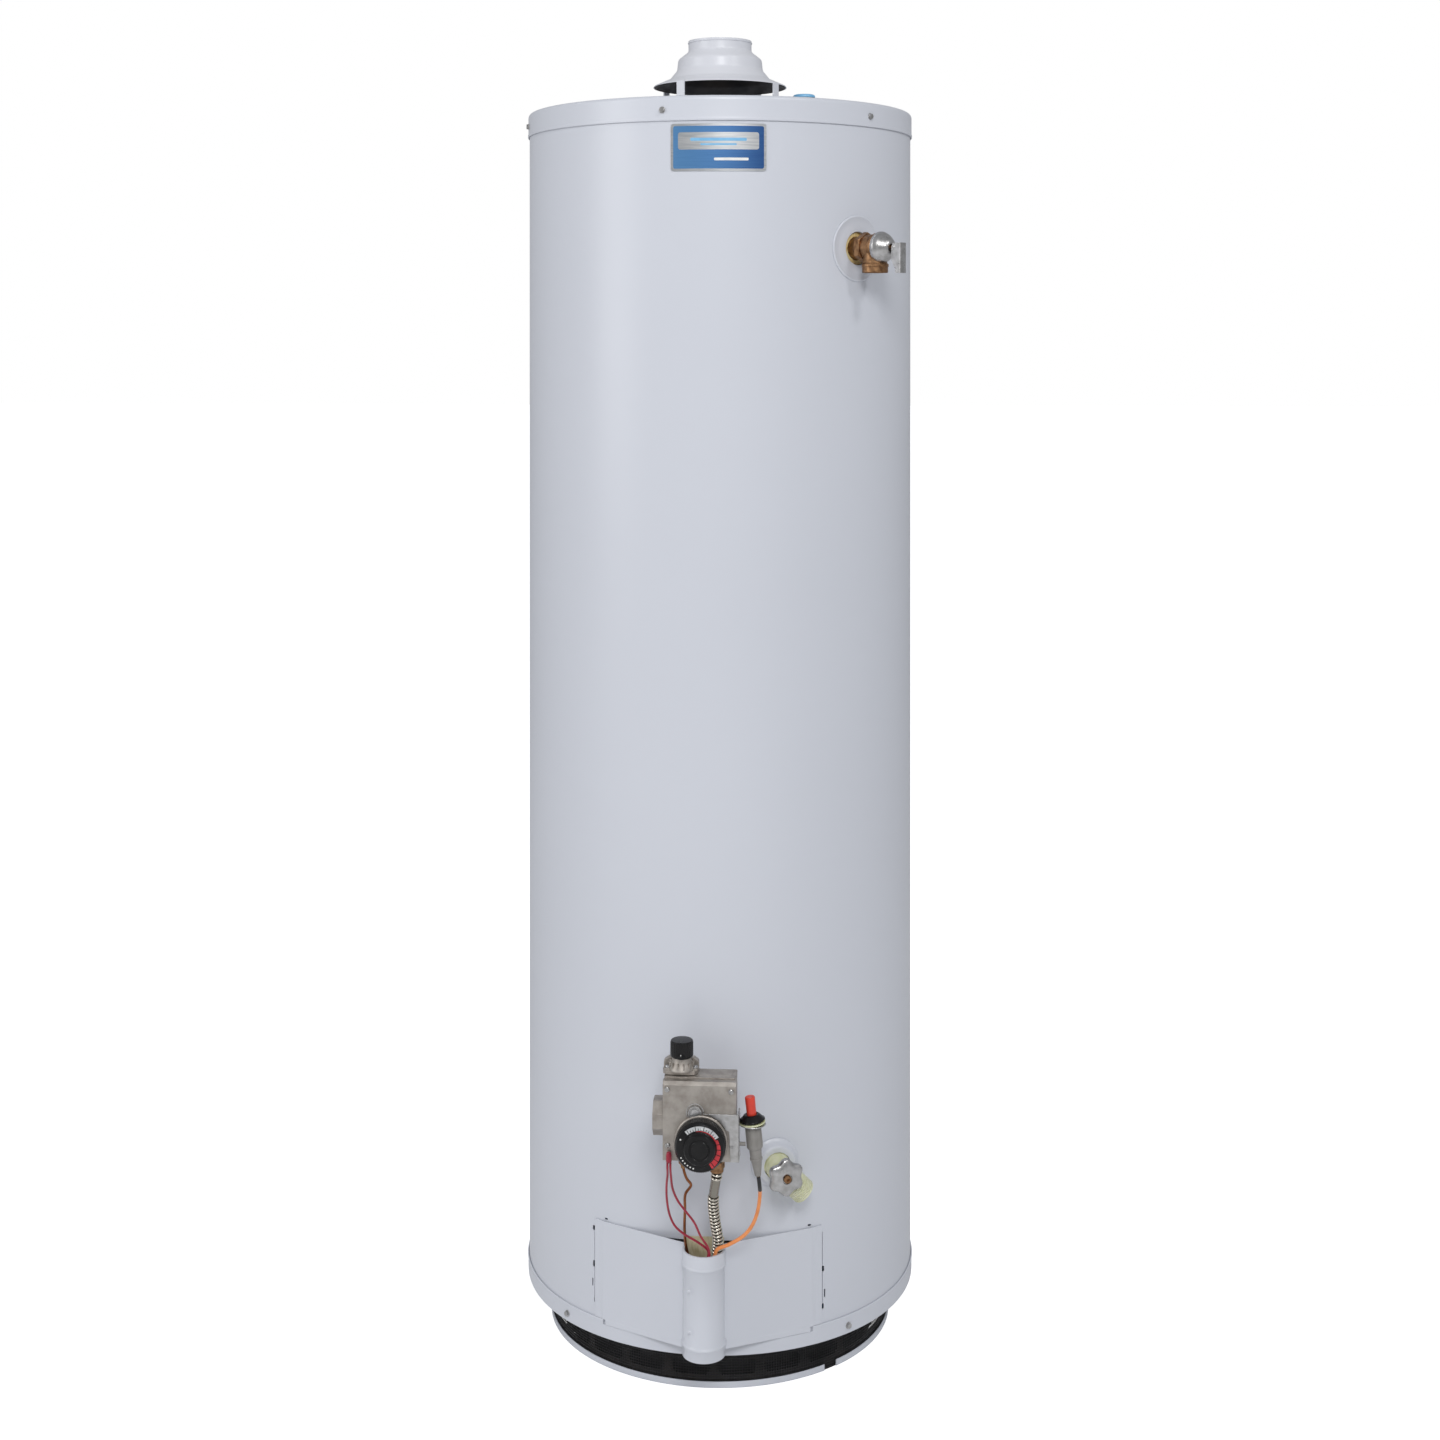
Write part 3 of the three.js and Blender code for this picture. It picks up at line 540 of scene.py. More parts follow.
# Camera: level, a little above the middle of the tank and a few degrees round to the right
print("heater: camera and cords")
cameraView = {"azimuth": 4.0, "distance": 2.4336, "height": 1.170, "lens": 50.33, "shiftY": -0.2688}


def makeCamera(view):
    data = bpy.data.cameras.new("camera")
    data.sensor_width, data.lens, data.shift_y = 36.0, view["lens"], view["shiftY"]
    data.clip_end = 100
    camera = bpy.data.objects.new("camera", data)
    turn = math.radians(view["azimuth"])
    camera.location = (view["distance"] * math.sin(turn), -view["distance"] * math.cos(turn), view["height"])
    camera.rotation_euler = (math.radians(90), 0, turn)
    scene.collection.objects.link(camera)
    scene.camera = camera


makeCamera(cameraView)

# Free cords: each route leaves its fitting, hangs in front of the jacket and goes down into the conduit.
cordRoutes = {
    "switch_wire_1": {
        "radius": 1.25, "slot": "wire_red", "stiffness": "medium", "points": [
            (-33.3, -317.2, 296.3), (-33.5, -316, 291), (-34, -309, 281), (-36, -299, 265),
            (-36.6, -290, 247), (-34.5, -281, 226), (-29, -275, 211), (-20, -270.6, 201),
            (-4, -266, 189.6), (5.5, -262, 179), (2, -261, 162), (-1, -252, 138),
            (-1.5, -238, 122), (-1.5, -222, 117), (-1.5, -209.2, 116)]},
    "switch_wire_2": {
        "radius": 1.25, "slot": "wire_red", "stiffness": "medium", "points": [
            (-30.2, -317.2, 296.3), (-30.3, -316.5, 291), (-30.3, -311, 281), (-29.2, -301, 262),
            (-24.3, -293.3, 246), (-17, -287, 233), (-8.3, -280, 218), (-1.6, -271.5, 199),
            (6.5, -266.5, 183), (7, -265.5, 165), (6, -256, 142), (4, -246, 127),
            (3.4, -232, 113.5), (3.2, -220, 109), (3.2, -209.2, 108)]},
    "igniter_lead": {
        "radius": 2.0, "slot": "lead_orange", "stiffness": "medium", "points": [
            (61.7, -300, 277.6), (62.8, -297.5, 267), (62.9, -290, 255), (60, -281.7, 233),
            (54, -275.5, 215), (44, -270.4, 200.7), (28, -266.2, 189), (14.8, -262, 181),
            (12.6, -261, 170), (13.8, -259, 150), (16, -252, 131), (18.5, -243, 119),
            (21.5, -231, 110), (22.5, -220, 106.5), (22.5, -209.2, 106)]},
}


def makeCurve(name, route, radius, slot):
    curve = bpy.data.curves.new(name, "CURVE")
    curve.dimensions, curve.bevel_depth, curve.bevel_resolution = "3D", radius * mm, 5
    curve.use_fill_caps = True
    spline = curve.splines.new("POLY")
    spline.points.add(len(route) - 1)
    for point, place in zip(spline.points, route):
        point.co = (*(place * mm), 1)
    spline.use_smooth = True
    curve.materials.append(finishes[slot])
    piece = bpy.data.objects.new(name, curve)
    scene.collection.objects.link(piece)
    return piece


def routeLength(route):
    return sum((b - a).length for a, b in zip(route, route[1:])) * mm


for name, cord in cordRoutes.items():
    route = smoothRoute(cord["points"])
    wire = makeCurve(name + "_insulation", route, cord["radius"], cord["slot"])
    settle(wire, "root", [name])
    print(f"heater: {name} is {routeLength(route) * 1000:.0f} mm long")


# Geometry Nodes trees: each ends in realised copies with their finish set

def newTree(name, inputs, takesGeometry=False):
    tree = bpy.data.node_groups.new(name, "GeometryNodeTree")
    tree.interface.new_socket("Geometry", in_out="OUTPUT", socket_type="NodeSocketGeometry")
    if takesGeometry:
        tree.interface.new_socket("Geometry", in_out="INPUT", socket_type="NodeSocketGeometry")
    for label, kind in inputs.items():
        tree.interface.new_socket(label, in_out="INPUT", socket_type="NodeSocket" + kind)
    return tree, addNode(tree, "NodeGroupInput").outputs


def endTree(tree, geometry, finish):
    real = addNode(tree, "GeometryNodeRealizeInstances", {0: geometry}).outputs[0]
    dressed = addNode(tree, "GeometryNodeSetMaterial", {"Geometry": real, "Material": finish}).outputs[0]
    addNode(tree, "NodeGroupOutput", {0: dressed})
    return tree


def ringTree():
    # Copies of a mark round Z, each one step on from the last and, if asked, a little higher.
    tree, given = newTree("copiesRoundRing", {
        "Mark": "Object", "Count": "Int", "Start": "Float", "Step": "Float",
        "Radius": "Float", "Rise": "Float", "Finish": "Material"})
    index = addNode(tree, "GeometryNodeInputIndex").outputs[0]
    turn = addNode(tree, "ShaderNodeMath", {0: index, 1: given["Step"], 2: given["Start"]},
                   operation="MULTIPLY_ADD").outputs[0]
    sine = addNode(tree, "ShaderNodeMath", {0: turn}, operation="SINE").outputs[0]
    cosine = addNode(tree, "ShaderNodeMath", {0: turn}, operation="COSINE").outputs[0]
    inwardRadius = addNode(tree, "ShaderNodeMath", {0: given["Radius"], 1: -1.0},
                           operation="MULTIPLY").outputs[0]
    x = addNode(tree, "ShaderNodeMath", {0: sine, 1: given["Radius"]}, operation="MULTIPLY").outputs[0]
    y = addNode(tree, "ShaderNodeMath", {0: cosine, 1: inwardRadius}, operation="MULTIPLY").outputs[0]
    z = addNode(tree, "ShaderNodeMath", {0: index, 1: given["Rise"]}, operation="MULTIPLY").outputs[0]
    place = addNode(tree, "ShaderNodeCombineXYZ", {"X": x, "Y": y, "Z": z}).outputs[0]
    spin = addNode(tree, "ShaderNodeCombineXYZ", {"Z": turn}).outputs[0]
    points = addNode(tree, "GeometryNodePoints", {"Count": given["Count"], "Position": place}).outputs[0]
    mark = addNode(tree, "GeometryNodeObjectInfo", {"Object": given["Mark"]}).outputs["Geometry"]
    copies = addNode(tree, "GeometryNodeInstanceOnPoints", {
        "Points": points, "Instance": mark, "Rotation": spin}).outputs[0]
    return endTree(tree, copies, given["Finish"])


def screwTree():
    # A screw head on each point, turned to face the way the point's own arrow does.
    tree, given = newTree("headsOnPoints", {"Head": "Object", "Finish": "Material"}, True)
    facing = addNode(tree, "GeometryNodeInputNamedAttribute", {"Name": "facing"},
                     data_type="FLOAT_VECTOR").outputs["Attribute"]
    turn = addNode(tree, "FunctionNodeAlignRotationToVector", {"Vector": facing}, axis="Z").outputs[0]
    head = addNode(tree, "GeometryNodeObjectInfo", {"Object": given["Head"]}).outputs["Geometry"]
    copies = addNode(tree, "GeometryNodeInstanceOnPoints", {
        "Points": given["Geometry"], "Instance": head, "Rotation": turn}).outputs[0]
    return endTree(tree, copies, given["Finish"])


tubeSides = 32


def corrugatedTree():
    # A tube along a line, its radius waving along its length except where it is left smooth.
    tree, given = newTree("corrugatedTube", {
        "Rings": "Int", "Middle": "Float", "Swell": "Float", "Pitch": "Float",
        "Smooth From": "Float", "Smooth To": "Float", "Finish": "Material"}, True)
    line = addNode(tree, "GeometryNodeMeshToCurve", {"Mesh": given["Geometry"]}).outputs[0]
    even = addNode(tree, "GeometryNodeResampleCurve", {"Curve": line, "Count": given["Rings"]}, mode="COUNT")
    length = addNode(tree, "GeometryNodeSplineParameter").outputs["Length"]
    turns = addNode(tree, "ShaderNodeMath", {0: length, 1: given["Pitch"]}, operation="DIVIDE").outputs[0]
    phase = addNode(tree, "ShaderNodeMath", {0: turns, 1: 2 * math.pi}, operation="MULTIPLY").outputs[0]
    wave = addNode(tree, "ShaderNodeMath", {0: phase}, operation="COSINE").outputs[0]
    before = addNode(tree, "ShaderNodeMath", {0: length, 1: given["Smooth From"]},
                     operation="LESS_THAN").outputs[0]
    after = addNode(tree, "ShaderNodeMath", {0: length, 1: given["Smooth To"]},
                    operation="GREATER_THAN").outputs[0]
    ribbed = addNode(tree, "ShaderNodeMath", {0: before, 1: after}, operation="MAXIMUM").outputs[0]
    swell = addNode(tree, "ShaderNodeMath", {0: wave, 1: given["Swell"]}, operation="MULTIPLY").outputs[0]
    radius = addNode(tree, "ShaderNodeMath", {0: swell, 1: ribbed, 2: given["Middle"]},
                     operation="MULTIPLY_ADD").outputs[0]
    sized = addNode(tree, "GeometryNodeSetCurveRadius", {"Curve": even.outputs[0], "Radius": radius}).outputs[0]
    section = addNode(tree, "GeometryNodeCurvePrimitiveCircle", {"Resolution": tubeSides, "Radius": 1.0}).outputs[0]
    tube = addNode(tree, "GeometryNodeCurveToMesh", {
        "Curve": sized, "Profile Curve": section, "Fill Caps": True, "Scale": radius})
    return endTree(tree, tube.outputs[0], given["Finish"])


copiesRoundRing, headsOnPoints, corrugatedTube = ringTree(), screwTree(), corrugatedTree()


def grown(tree, values, host=None):
    holder = host or bpy.data.objects.new("holder", bpy.data.meshes.new("holder"))
    if not host:
        scene.collection.objects.link(holder)
    grow = holder.modifiers.new("grow", "NODES")
    grow.node_group = tree
    for item in tree.interface.items_tree:
        if item.in_out == "INPUT" and item.name in values:
            grow[item.identifier] = values[item.name]
    mesh = plainMesh(holder)
    bpy.data.objects.remove(holder)
    return shapeOf(mesh)


def copiesRound(mark, count, step, start=0.0, radius=0.0, rise=0.0):
    pattern = rawObject("mark", mark)
    shape = grown(copiesRoundRing, {
        "Mark": pattern, "Count": count, "Start": math.radians(start), "Step": math.radians(step),
        "Radius": radius * mm, "Rise": rise * mm, "Finish": finishes["bare_steel"]})
    bpy.data.objects.remove(pattern)
    return shape


def headsAt(places, head):
    # places are (position, direction it faces)
    host = rawObject("places", [([place for place, _ in places], [])])
    facing = host.data.attributes.new("facing", "FLOAT_VECTOR", "POINT")
    for item, (_, way) in zip(facing.data, places):
        item.vector = way
    pattern = rawObject("head", head)
    shape = grown(headsOnPoints, {"Head": pattern, "Finish": finishes["zinc"]}, host)
    bpy.data.objects.remove(pattern)
    return shape


def screwHead(radius, height, kind="cross"):
    # Stands on z = 0 and faces up.
    if kind == "hex":
        rim = [(0.001, 0), (radius * 1.25, 0), (radius * 1.2, height * 0.25), (0.001, height * 0.3)]
        flange = turned(rounded(rim, 0.2, 2), 32)
        return [flange, prism(circle(radius, 6), 0, height)]
    dome = turned([(0, 0), (radius, 0), (radius, height * 0.35), (radius * 0.88, height * 0.75),
                   (radius * 0.55, height), (0, height)], 32)
    arm, depth = radius * 0.14, height * 0.45
    recess = [block(-radius * 0.55, radius * 0.55, -arm, arm, height - depth, height + 1),
              block(-arm, arm, -radius * 0.55, radius * 0.55, height - depth, height + 1)]
    return [carved([dome], recess, crossing=True)]


def out(angle):
    return Vector((math.sin(math.radians(angle)), -math.cos(math.radians(angle)), 0))


def onSide(angle, radius, z):
    return out(angle) * radius + Vector((0, 0, z))


def ring(inner, outer, low, high, sides=192):
    return turned([(inner, low), (outer, low), (outer, high), (inner, high)], sides)


def rod(radius, low, high, edge=0.0, sides=64):
    if not edge:
        return turned([(0, low), (radius, low), (radius, high), (0, high)], sides)
    return turned([(0, low), (radius - edge, low), (radius - edge * 0.3, low + edge * 0.3), (radius, low + edge),
                   (radius, high - edge), (radius - edge * 0.3, high - edge * 0.3), (radius - edge, high),
                   (0, high)], sides)


print("heater: base")
baseSizes = {"slots": 24, "slotStart": -5.4, "slotLength": 43, "slotHeight": 17, "slotZ": 22,
             "meshPitch": 3.0, "wire": 0.35, "trimGap": (39.5, 44.5)}


def makeBase(s):
    high = boxMm("base_ring")[1]
    inner, outer = high.x - 1.4, high.x
    slotOutline = roundedRectangle(s["slotLength"], s["slotHeight"], s["slotHeight"] / 2)
    slot = moved(prism(slotOutline, inner - 12, outer + 8), outward)
    raised = moved(slot, shifted(0, 0, s["slotZ"]))
    cutters = copiesRound([raised], s["slots"], 360 / s["slots"], s["slotStart"])
    wall = carved([ring(inner, outer, 0, high.z - 1)], [cutters])
    lip = [(inner - 5, high.z - 1.2), (outer, high.z - 1.2), (outer, high.z), (inner - 5, high.z)]
    rolledTop = turned(rounded(lip, 0.5, 2), 192)
    roundShading(makePiece("base_ring_steel", [wall, rolledTop], "dark_steel", replaced=["base_ring"]))
    # Painted shade: a black ring just inside the slotted wall stands for the dark space within the base.
    makePiece("base_ring_baffle", [ring(inner - 12, inner - 11, 0.5, high.z - 1.3)], "black_mesh")

    low, high = boxMm("intake_screen")
    middle, wire = high.x - 0.6, s["wire"]
    across = round(2 * math.pi * middle / s["meshPitch"])
    upright = prism(circle(wire, 4, start=45), low.z, high.z)
    hoop = turned([(middle - wire, -wire), (middle + wire, -wire), (middle + wire, wire),
                   (middle - wire, wire)], 180)
    rows = int((high.z - low.z - 2) / s["meshPitch"])
    uprights = copiesRound([upright], across, 360 / across, 0, middle)
    hoops = moved(copiesRound([hoop], rows, 0, rise=s["meshPitch"]), shifted(0, 0, low.z + 1.5))
    hems = [ring(middle - 0.6, middle + 0.6, edge, edge + 2) for edge in (low.z, high.z - 2)]
    makePiece("intake_screen_cloth", [uprights, hoops, *hems], "black_mesh", replaced=["intake_screen"])

    low, high = boxMm("screen_trim")
    radius = -low.y
    start, end = s["trimGap"]
    strip = rounded([(radius - 1.2, low.z), (radius, low.z), (radius, high.z), (radius - 1.2, high.z)], 0.4, 2)
    makePiece("screen_trim_strip", [turned(strip, 256, end, 360 - (end - start))], "jacket_enamel",
              replaced=["screen_trim"])


makeBase(baseSizes)

print("heater: jacket, pan and lid")
drumSizes = {"sides": 256, "wall": 1.2, "doorSlit": 33.75, "slitLow": 86, "slitHigh": 172,
             "seam": 180, "seamWidth": 9}
jacketSlots = [  # (angle, height, width, height of the slot)
    (-34.1, 168.5, 3.2, 5.5), (-33.9, 128.5, 4.2, 7.5), (-34.5, 107.5, 1.8, 9), (-33.4, 88.6, 4.2, 6),
    (34.0, 131.0, 3.0, 6.5), (34.5, 103.5, 1.8, 9.5), (33.9, 89.5, 2.8, 6),
    (-29.6, 183.0, 4.2, 2.2), (29.6, 183.0, 4.2, 2.2)]


def makeJacket(s):
    low, high = boxMm("jacket")
    radius = jacketRadius
    wall = ring(radius - s["wall"], radius, low.z, high.z, s["sides"])
    cuts = [block(-108, 108, -260, -150, 74, 176)]
    front = {"angle": 0, "z": 337}
    for spot, hole in ((reliefPlace, 18.5), (drainPlace, 18), (front, 22)):
        cuts.append(moved(rod(hole, 190, 250), atSide(spot["angle"], spot["z"]), outward))
    for angle, z, width, tall in jacketSlots:
        slot = prism(roundedRectangle(width, tall, min(width, tall) * 0.4), 215, 240)
        cuts.append(moved(slot, atSide(angle, z), outward))
    for side in (-1, 1):
        slit = prism(roundedRectangle(0.7, s["slitHigh"] - s["slitLow"], 0.2), 215, 240)
        cuts.append(moved(slit, atSide(side * s["doorSlit"], (s["slitLow"] + s["slitHigh"]) / 2), outward))
    shell = carved([wall], cuts, crossing=True)
    seam = turned([(radius + 0.1, 73), (radius + 0.9, 73), (radius + 0.9, 1402), (radius + 0.1, 1402)], 6,
                  s["seam"] - math.degrees(s["seamWidth"] / 2 / radius), math.degrees(s["seamWidth"] / radius))
    roundShading(makePiece("jacket_shell", [shell], "jacket_enamel", replaced=["jacket"]))
    roundShading(makePiece("jacket_seam", [seam], "jacket_enamel"))


def makePan():
    low, high = boxMm("bottom_pan")
    r = high.x
    profile = [(120, low.z), (r - 2.5, low.z), (r - 0.7, low.z + 0.7), (r - 0.5, low.z + 3),
               (r - 0.5, high.z - 3.4), (r, high.z - 2.6), (r, high.z - 0.8), (r - 0.5, high.z),
               (r - 1.4, high.z), (r - 1.7, high.z - 1), (r - 1.7, low.z + 2.5), (r - 3, low.z + 1.2),
               (120, low.z + 1.2)]
    notch = block(-116.5, 116.5, -240, -150, 65.6, high.z + 5)
    pan = carved([turned(profile, 256)], [notch])
    softNormals(makePiece("bottom_pan_sheet", [pan], "jacket_enamel", replaced=["bottom_pan"], sharp=50))


def makeLid():
    low, high = boxMm("top_lid")
    r = high.x
    skirt = [(r - 1.3, low.z), (r - 0.4, low.z), (r, low.z + 0.5), (r, low.z + 3.2), (r - 0.5, low.z + 4.4),
             (r - 0.5, high.z - 5)]
    bend = 4.5
    corner = [(r - 0.5 - bend * (1 - math.cos(math.radians(a))), high.z - bend * (1 - math.sin(math.radians(a))))
              for a in range(15, 91, 15)]
    top = [(r - 60, high.z), (60, high.z), (44, high.z), (40.5, high.z - 0.5), (40.5, high.z - 1.6),
           (r - 5, high.z - 1.6), (r - 1.7, high.z - 5)]
    holes = [moved(rod(14.3, 1420, 1440), shifted(side * 101.6, 0, 0)) for side in (-1, 1)]
    lid = carved([turned(skirt + corner + top, 256)], holes)
    softNormals(makePiece("top_lid_sheet", [lid], "jacket_enamel", replaced=["top_lid"], sharp=50))


makeJacket(drumSizes)
makePan()
makeLid()

sheetScrews = {"radius": 3.0, "height": 2.8, "reach": 230.6, "lidZ": 1415, "panZ": 59.5, "count": 4}


def makeSheetScrews(s):
    for group, z in (("lid_screw", s["lidZ"]), ("pan_screw", s["panZ"])):
        nodes = [f"{group}_{i + 1}" for i in range(s["count"])]
        places = []
        for node in nodes:
            low, high = boxMm(node)
            middle = (low + high) / 2
            way = Vector((middle.x, middle.y, 0)).normalized()
            places.append((way * s["reach"] + Vector((0, 0, z)), way))
        heads = headsAt(places, screwHead(s["radius"], s["height"], "hex"))
        makePiece(f"{group}_heads", [heads], "zinc", replaced=nodes)


makeSheetScrews(sheetScrews)

print("heater: water connections and draft hood")
connection = {"offset": 101.6, "radius": 13.34, "bore": 10.45, "threadPitch": 1.81, "threadDepth": 0.9}


def makeConnections(c):
    for name, side, slot in (("cold", 1, "cold_blue"), ("hot", -1, "hot_red")):
        low, high = boxMm(f"{name}_nipple")
        place = shifted(side * c["offset"], 0, 0)
        outer = [(c["radius"], low.z), (c["radius"], high.z - 20)]
        turns = int(19 / c["threadPitch"])
        for i in range(turns):
            z = high.z - 20 + i * c["threadPitch"]
            outer += [(c["radius"], z + 0.3), (c["radius"] - c["threadDepth"], z + c["threadPitch"] * 0.6),
                      (c["radius"], z + c["threadPitch"])]
        pipe = turned(outer + [(c["radius"] - 0.6, high.z), (c["bore"], high.z), (c["bore"], low.z)], 64)
        makePiece(f"{name}_nipple_pipe", [moved(pipe, place)], "bare_steel", replaced=[f"{name}_nipple"])
        low, high = boxMm(f"{name}_liner")
        rim = high.z
        liner = [(8.7, low.z), (10.1, low.z), (10.1, rim - 3.7), (13.3, rim - 3.7), (13.3, rim - 2),
                 (12.6, rim - 0.8), (11.2, rim - 0.1), (9.8, rim), (8.7, rim - 0.7)]
        makePiece(f"{name}_liner_sleeve", [moved(turned(liner, 64), place)], slot, replaced=[f"{name}_liner"])


makeConnections(connection)
hoodSizes = {"bend": 2.4, "legWidth": 11, "legAngles": (-31, 59, 149, 239)}


def makeHood(h):
    outside = [(80.4, 1465.8), (79.6, 1467.2), (60.6, 1475.4), (51.8, 1486.2), (50.4, 1499.2), (38.1, 1508.9),
               (38.1, 1522)]
    between = [(37.5, 1522), (37.5, 1508.5), (49.7, 1498.9), (51.2, 1486), (60.2, 1474.9), (79.3, 1465.8)]
    inside = [(36.9, 1521.6), (36.9, 1508.2), (49.1, 1498.6), (50.6, 1485.6), (59.8, 1474.2), (78.9, 1465.4)]
    outer, middle, inner = [rounded(line, h["bend"], 4, closed=False) for line in (outside, between, inside)]
    bell = turned(outer + middle, 128)
    # Painted shade: a dark steel shell just inside the bell darkens the hood's underside.
    undersideShade = turned([(radius - 0.05, height - 0.1) for radius, height in middle[::-1][1:]] + inner, 128)
    makePiece("draft_hood_lining", [undersideShade], "dark_steel", sharp=40)
    bead = turned(circle(0.9, 10, 38.0, 1519.5), 96)
    makePiece("draft_hood_bell", [bell, bead], "hood_enamel", replaced=["draft_hood"], sharp=40)
    legs = []
    side = rounded([(81.4, 1467.2), (81.4, 1431.3), (68, 1431.3), (68, 1432.9), (79.6, 1432.9), (79.6, 1467.2)],
                   1.2, 3)
    for angle in h["legAngles"]:
        strap = prism(side, -h["legWidth"] / 2, h["legWidth"] / 2)
        legs.append(moved(strap, atSide(angle, 0), spun(-90, "Z"), spun(90, "X")))
        weld = prism(roundedRectangle(8, 6, 2), 1432.9, 1433.4)
        legs.append(moved(weld, atSide(angle, 0), shifted(0, -72, 0)))
    softEdges(makePiece("draft_hood_legs", legs, "hood_enamel"), 0.4)


makeHood(hoodSizes)

print("heater: outer door")
doorSizes = {"seat": 229.3, "lift": 1.0, "wall": 1.2, "bend": 30.0, "edge": 33.4,
             "pipeY": -250.0, "pipeRadius": 22.5, "pipeSweep": 101.3}


def makeDoor(d):
    low, high = boxMm("outer_door")
    shapes = []
    for side in (-1, 1):
        def at(radius, angle):
            return (side * radius * math.sin(math.radians(angle)), -radius * math.cos(math.radians(angle)))
        lifted = d["seat"] + d["lift"]
        under = [at(d["seat"], d["edge"] - i * 0.6) for i in range(5)] + [at(lifted, d["bend"])]
        outside = [at(d["seat"] + d["wall"], d["edge"] - i * 0.6) for i in range(4, -1, -1)]
        over = [at(lifted + d["wall"], d["bend"])] + outside
        root = [(side * 21.8, -244.9), (side * 21.8, -246.3)]
        shapes.append(prism(under + root + over, 71.3, high.z))
        skirt = [at(lifted, d["bend"] - 0.5), *root, at(lifted + d["wall"], d["bend"] - 0.5)]
        shapes.append(prism(skirt, 66, 72))
    softEdges(makePiece("outer_door_wings", shapes, "jacket_enamel", "outer_door", ["outer_door"]), 0.35)
    r, wall = d["pipeRadius"], 1.2
    bottom, top = low.z, 177.0
    profile = [(r - wall, bottom), (r + 0.8, bottom), (r + 1, bottom + 0.6), (r + 1, bottom + 11)]
    profile += [(r + 1 + 0.9 * math.sin(math.radians(a)), bottom + 13 - 1.6 * math.cos(math.radians(a)))
                for a in range(30, 151, 30)]
    profile += [(r, bottom + 16.5), (r, top - 18.5)]
    profile += [(r + 1 + 0.9 * math.sin(math.radians(a)), top - 15 - 1.6 * math.cos(math.radians(a)))
                for a in range(30, 151, 30)]
    profile += [(r + 1, top - 12.5), (r + 1, top - 0.6), (r + 0.8, top), (r - wall, top)]
    pipe = moved(turned(profile, 96, -d["pipeSweep"], 2 * d["pipeSweep"]), shifted(0, d["pipeY"], 0))
    dimple = turned([(0, 0), (1.7, 0), (1.2, 0.45), (0, 0.6)], 24)
    dimples = [moved(dimple, atSide(-3, z), shifted(0, d["pipeY"] - r + 0.1, 0), outward) for z in (140, 96)]
    makePiece("outer_door_conduit", [pipe, *dimples], "jacket_enamel", "outer_door", sharp=40)


makeDoor(doorSizes)

print("heater: name plate and escutcheons")


def onJacket(outline, angle, z, low, high, width):
    # A thin plate cut from a shell of the jacket's own curve
    half = math.degrees(width / 2 / jacketRadius) + 3
    near, far = jacketRadius + low, jacketRadius + high
    shell = turned([(near, z - 45), (far, z - 45), (far, z + 45), (near, z + 45)], 48, angle - half, 2 * half)
    return carved([shell], [moved(prism(outline, 200, 250), atSide(angle, z), outward)], "INTERSECT")


plateSizes = {"angle": 3.6, "z": 1373.5, "width": 105, "height": 52, "rim": 2.6}


def makeNamePlate(p):
    angle, z, width, height, rim = p["angle"], p["z"], p["width"], p["height"], p["rim"]
    back = onJacket(roundedRectangle(width, height, 3.5), angle, z, 0.3, 0.9, width)
    roundShading(makePiece("name_plate_rim", [back], "brushed_silver", replaced=["name_plate"]))
    field = onJacket(roundedRectangle(width - 2 * rim, height - 2 * rim, 2.5), angle, z, 0.85, 1.0, width)
    roundShading(makePiece("name_plate_field", [field], "name_plate"))
    panel = onJacket(roundedRectangle(89, 19, 3, 0, 7), angle, z, 0.95, 1.1, width)
    roundShading(makePiece("name_plate_panel", [panel], "brushed_silver"))
    bars = [onJacket(roundedRectangle(w, h, h * 0.45, x, y), angle, z, 1.05, 1.2, width)
            for x, y, w, h in ((0, 8.6, 62, 3.4), (0, 3.2, 40, 2.0))]
    roundShading(makePiece("name_plate_bars", bars, "cold_blue"))
    under = onJacket(roundedRectangle(38, 3, 1.3, 14, -13), angle, z, 0.95, 1.1, width)
    roundShading(makePiece("name_plate_line", [under], "white_ink"))


def makeEscutcheons():
    # The relief valve's is a flat disc with a pressed rim; the drain valve's is drawn up round its hexagon.
    pressed = [(18.6, 0.3), (37.4, 0.3), (37.4, 0.8), (36.8, 1.4), (35.8, 1.7), (34.8, 1.4), (34.2, 1.0),
               (27, 1.0), (24, 1.0), (21, 1.0), (19.1, 1.0)]
    drawn = [(18.1, 0.4), (26.9, 0.4), (26.9, 0.9), (26.2, 1.5), (24.6, 2.2), (22.8, 4.6), (21.4, 8.0),
             (20.2, 9.5), (18.4, 9.8), (14.5, 9.8), (14.5, 9.4), (18.1, 9.4)]
    for name, spot, profile in (("relief", reliefPlace, pressed), ("drain", drainPlace, drawn)):
        angle, z = spot["angle"], spot["z"]
        disc = wrapped(moved(turned(profile, 96), outward), angle, z, jacketRadius)
        if name == "drain":
            spoutRoom = moved(rod(13.9, 8, 40), atSide(angle, z), shifted(0, -251, 0), spun(135, "Y"))
            disc = carved([disc], [spoutRoom])
        makePiece(f"{name}_escutcheon_disc", [disc], "jacket_enamel", replaced=[f"{name}_escutcheon"], sharp=50)


makeNamePlate(plateSizes)
makeEscutcheons()

print("heater: relief valve")


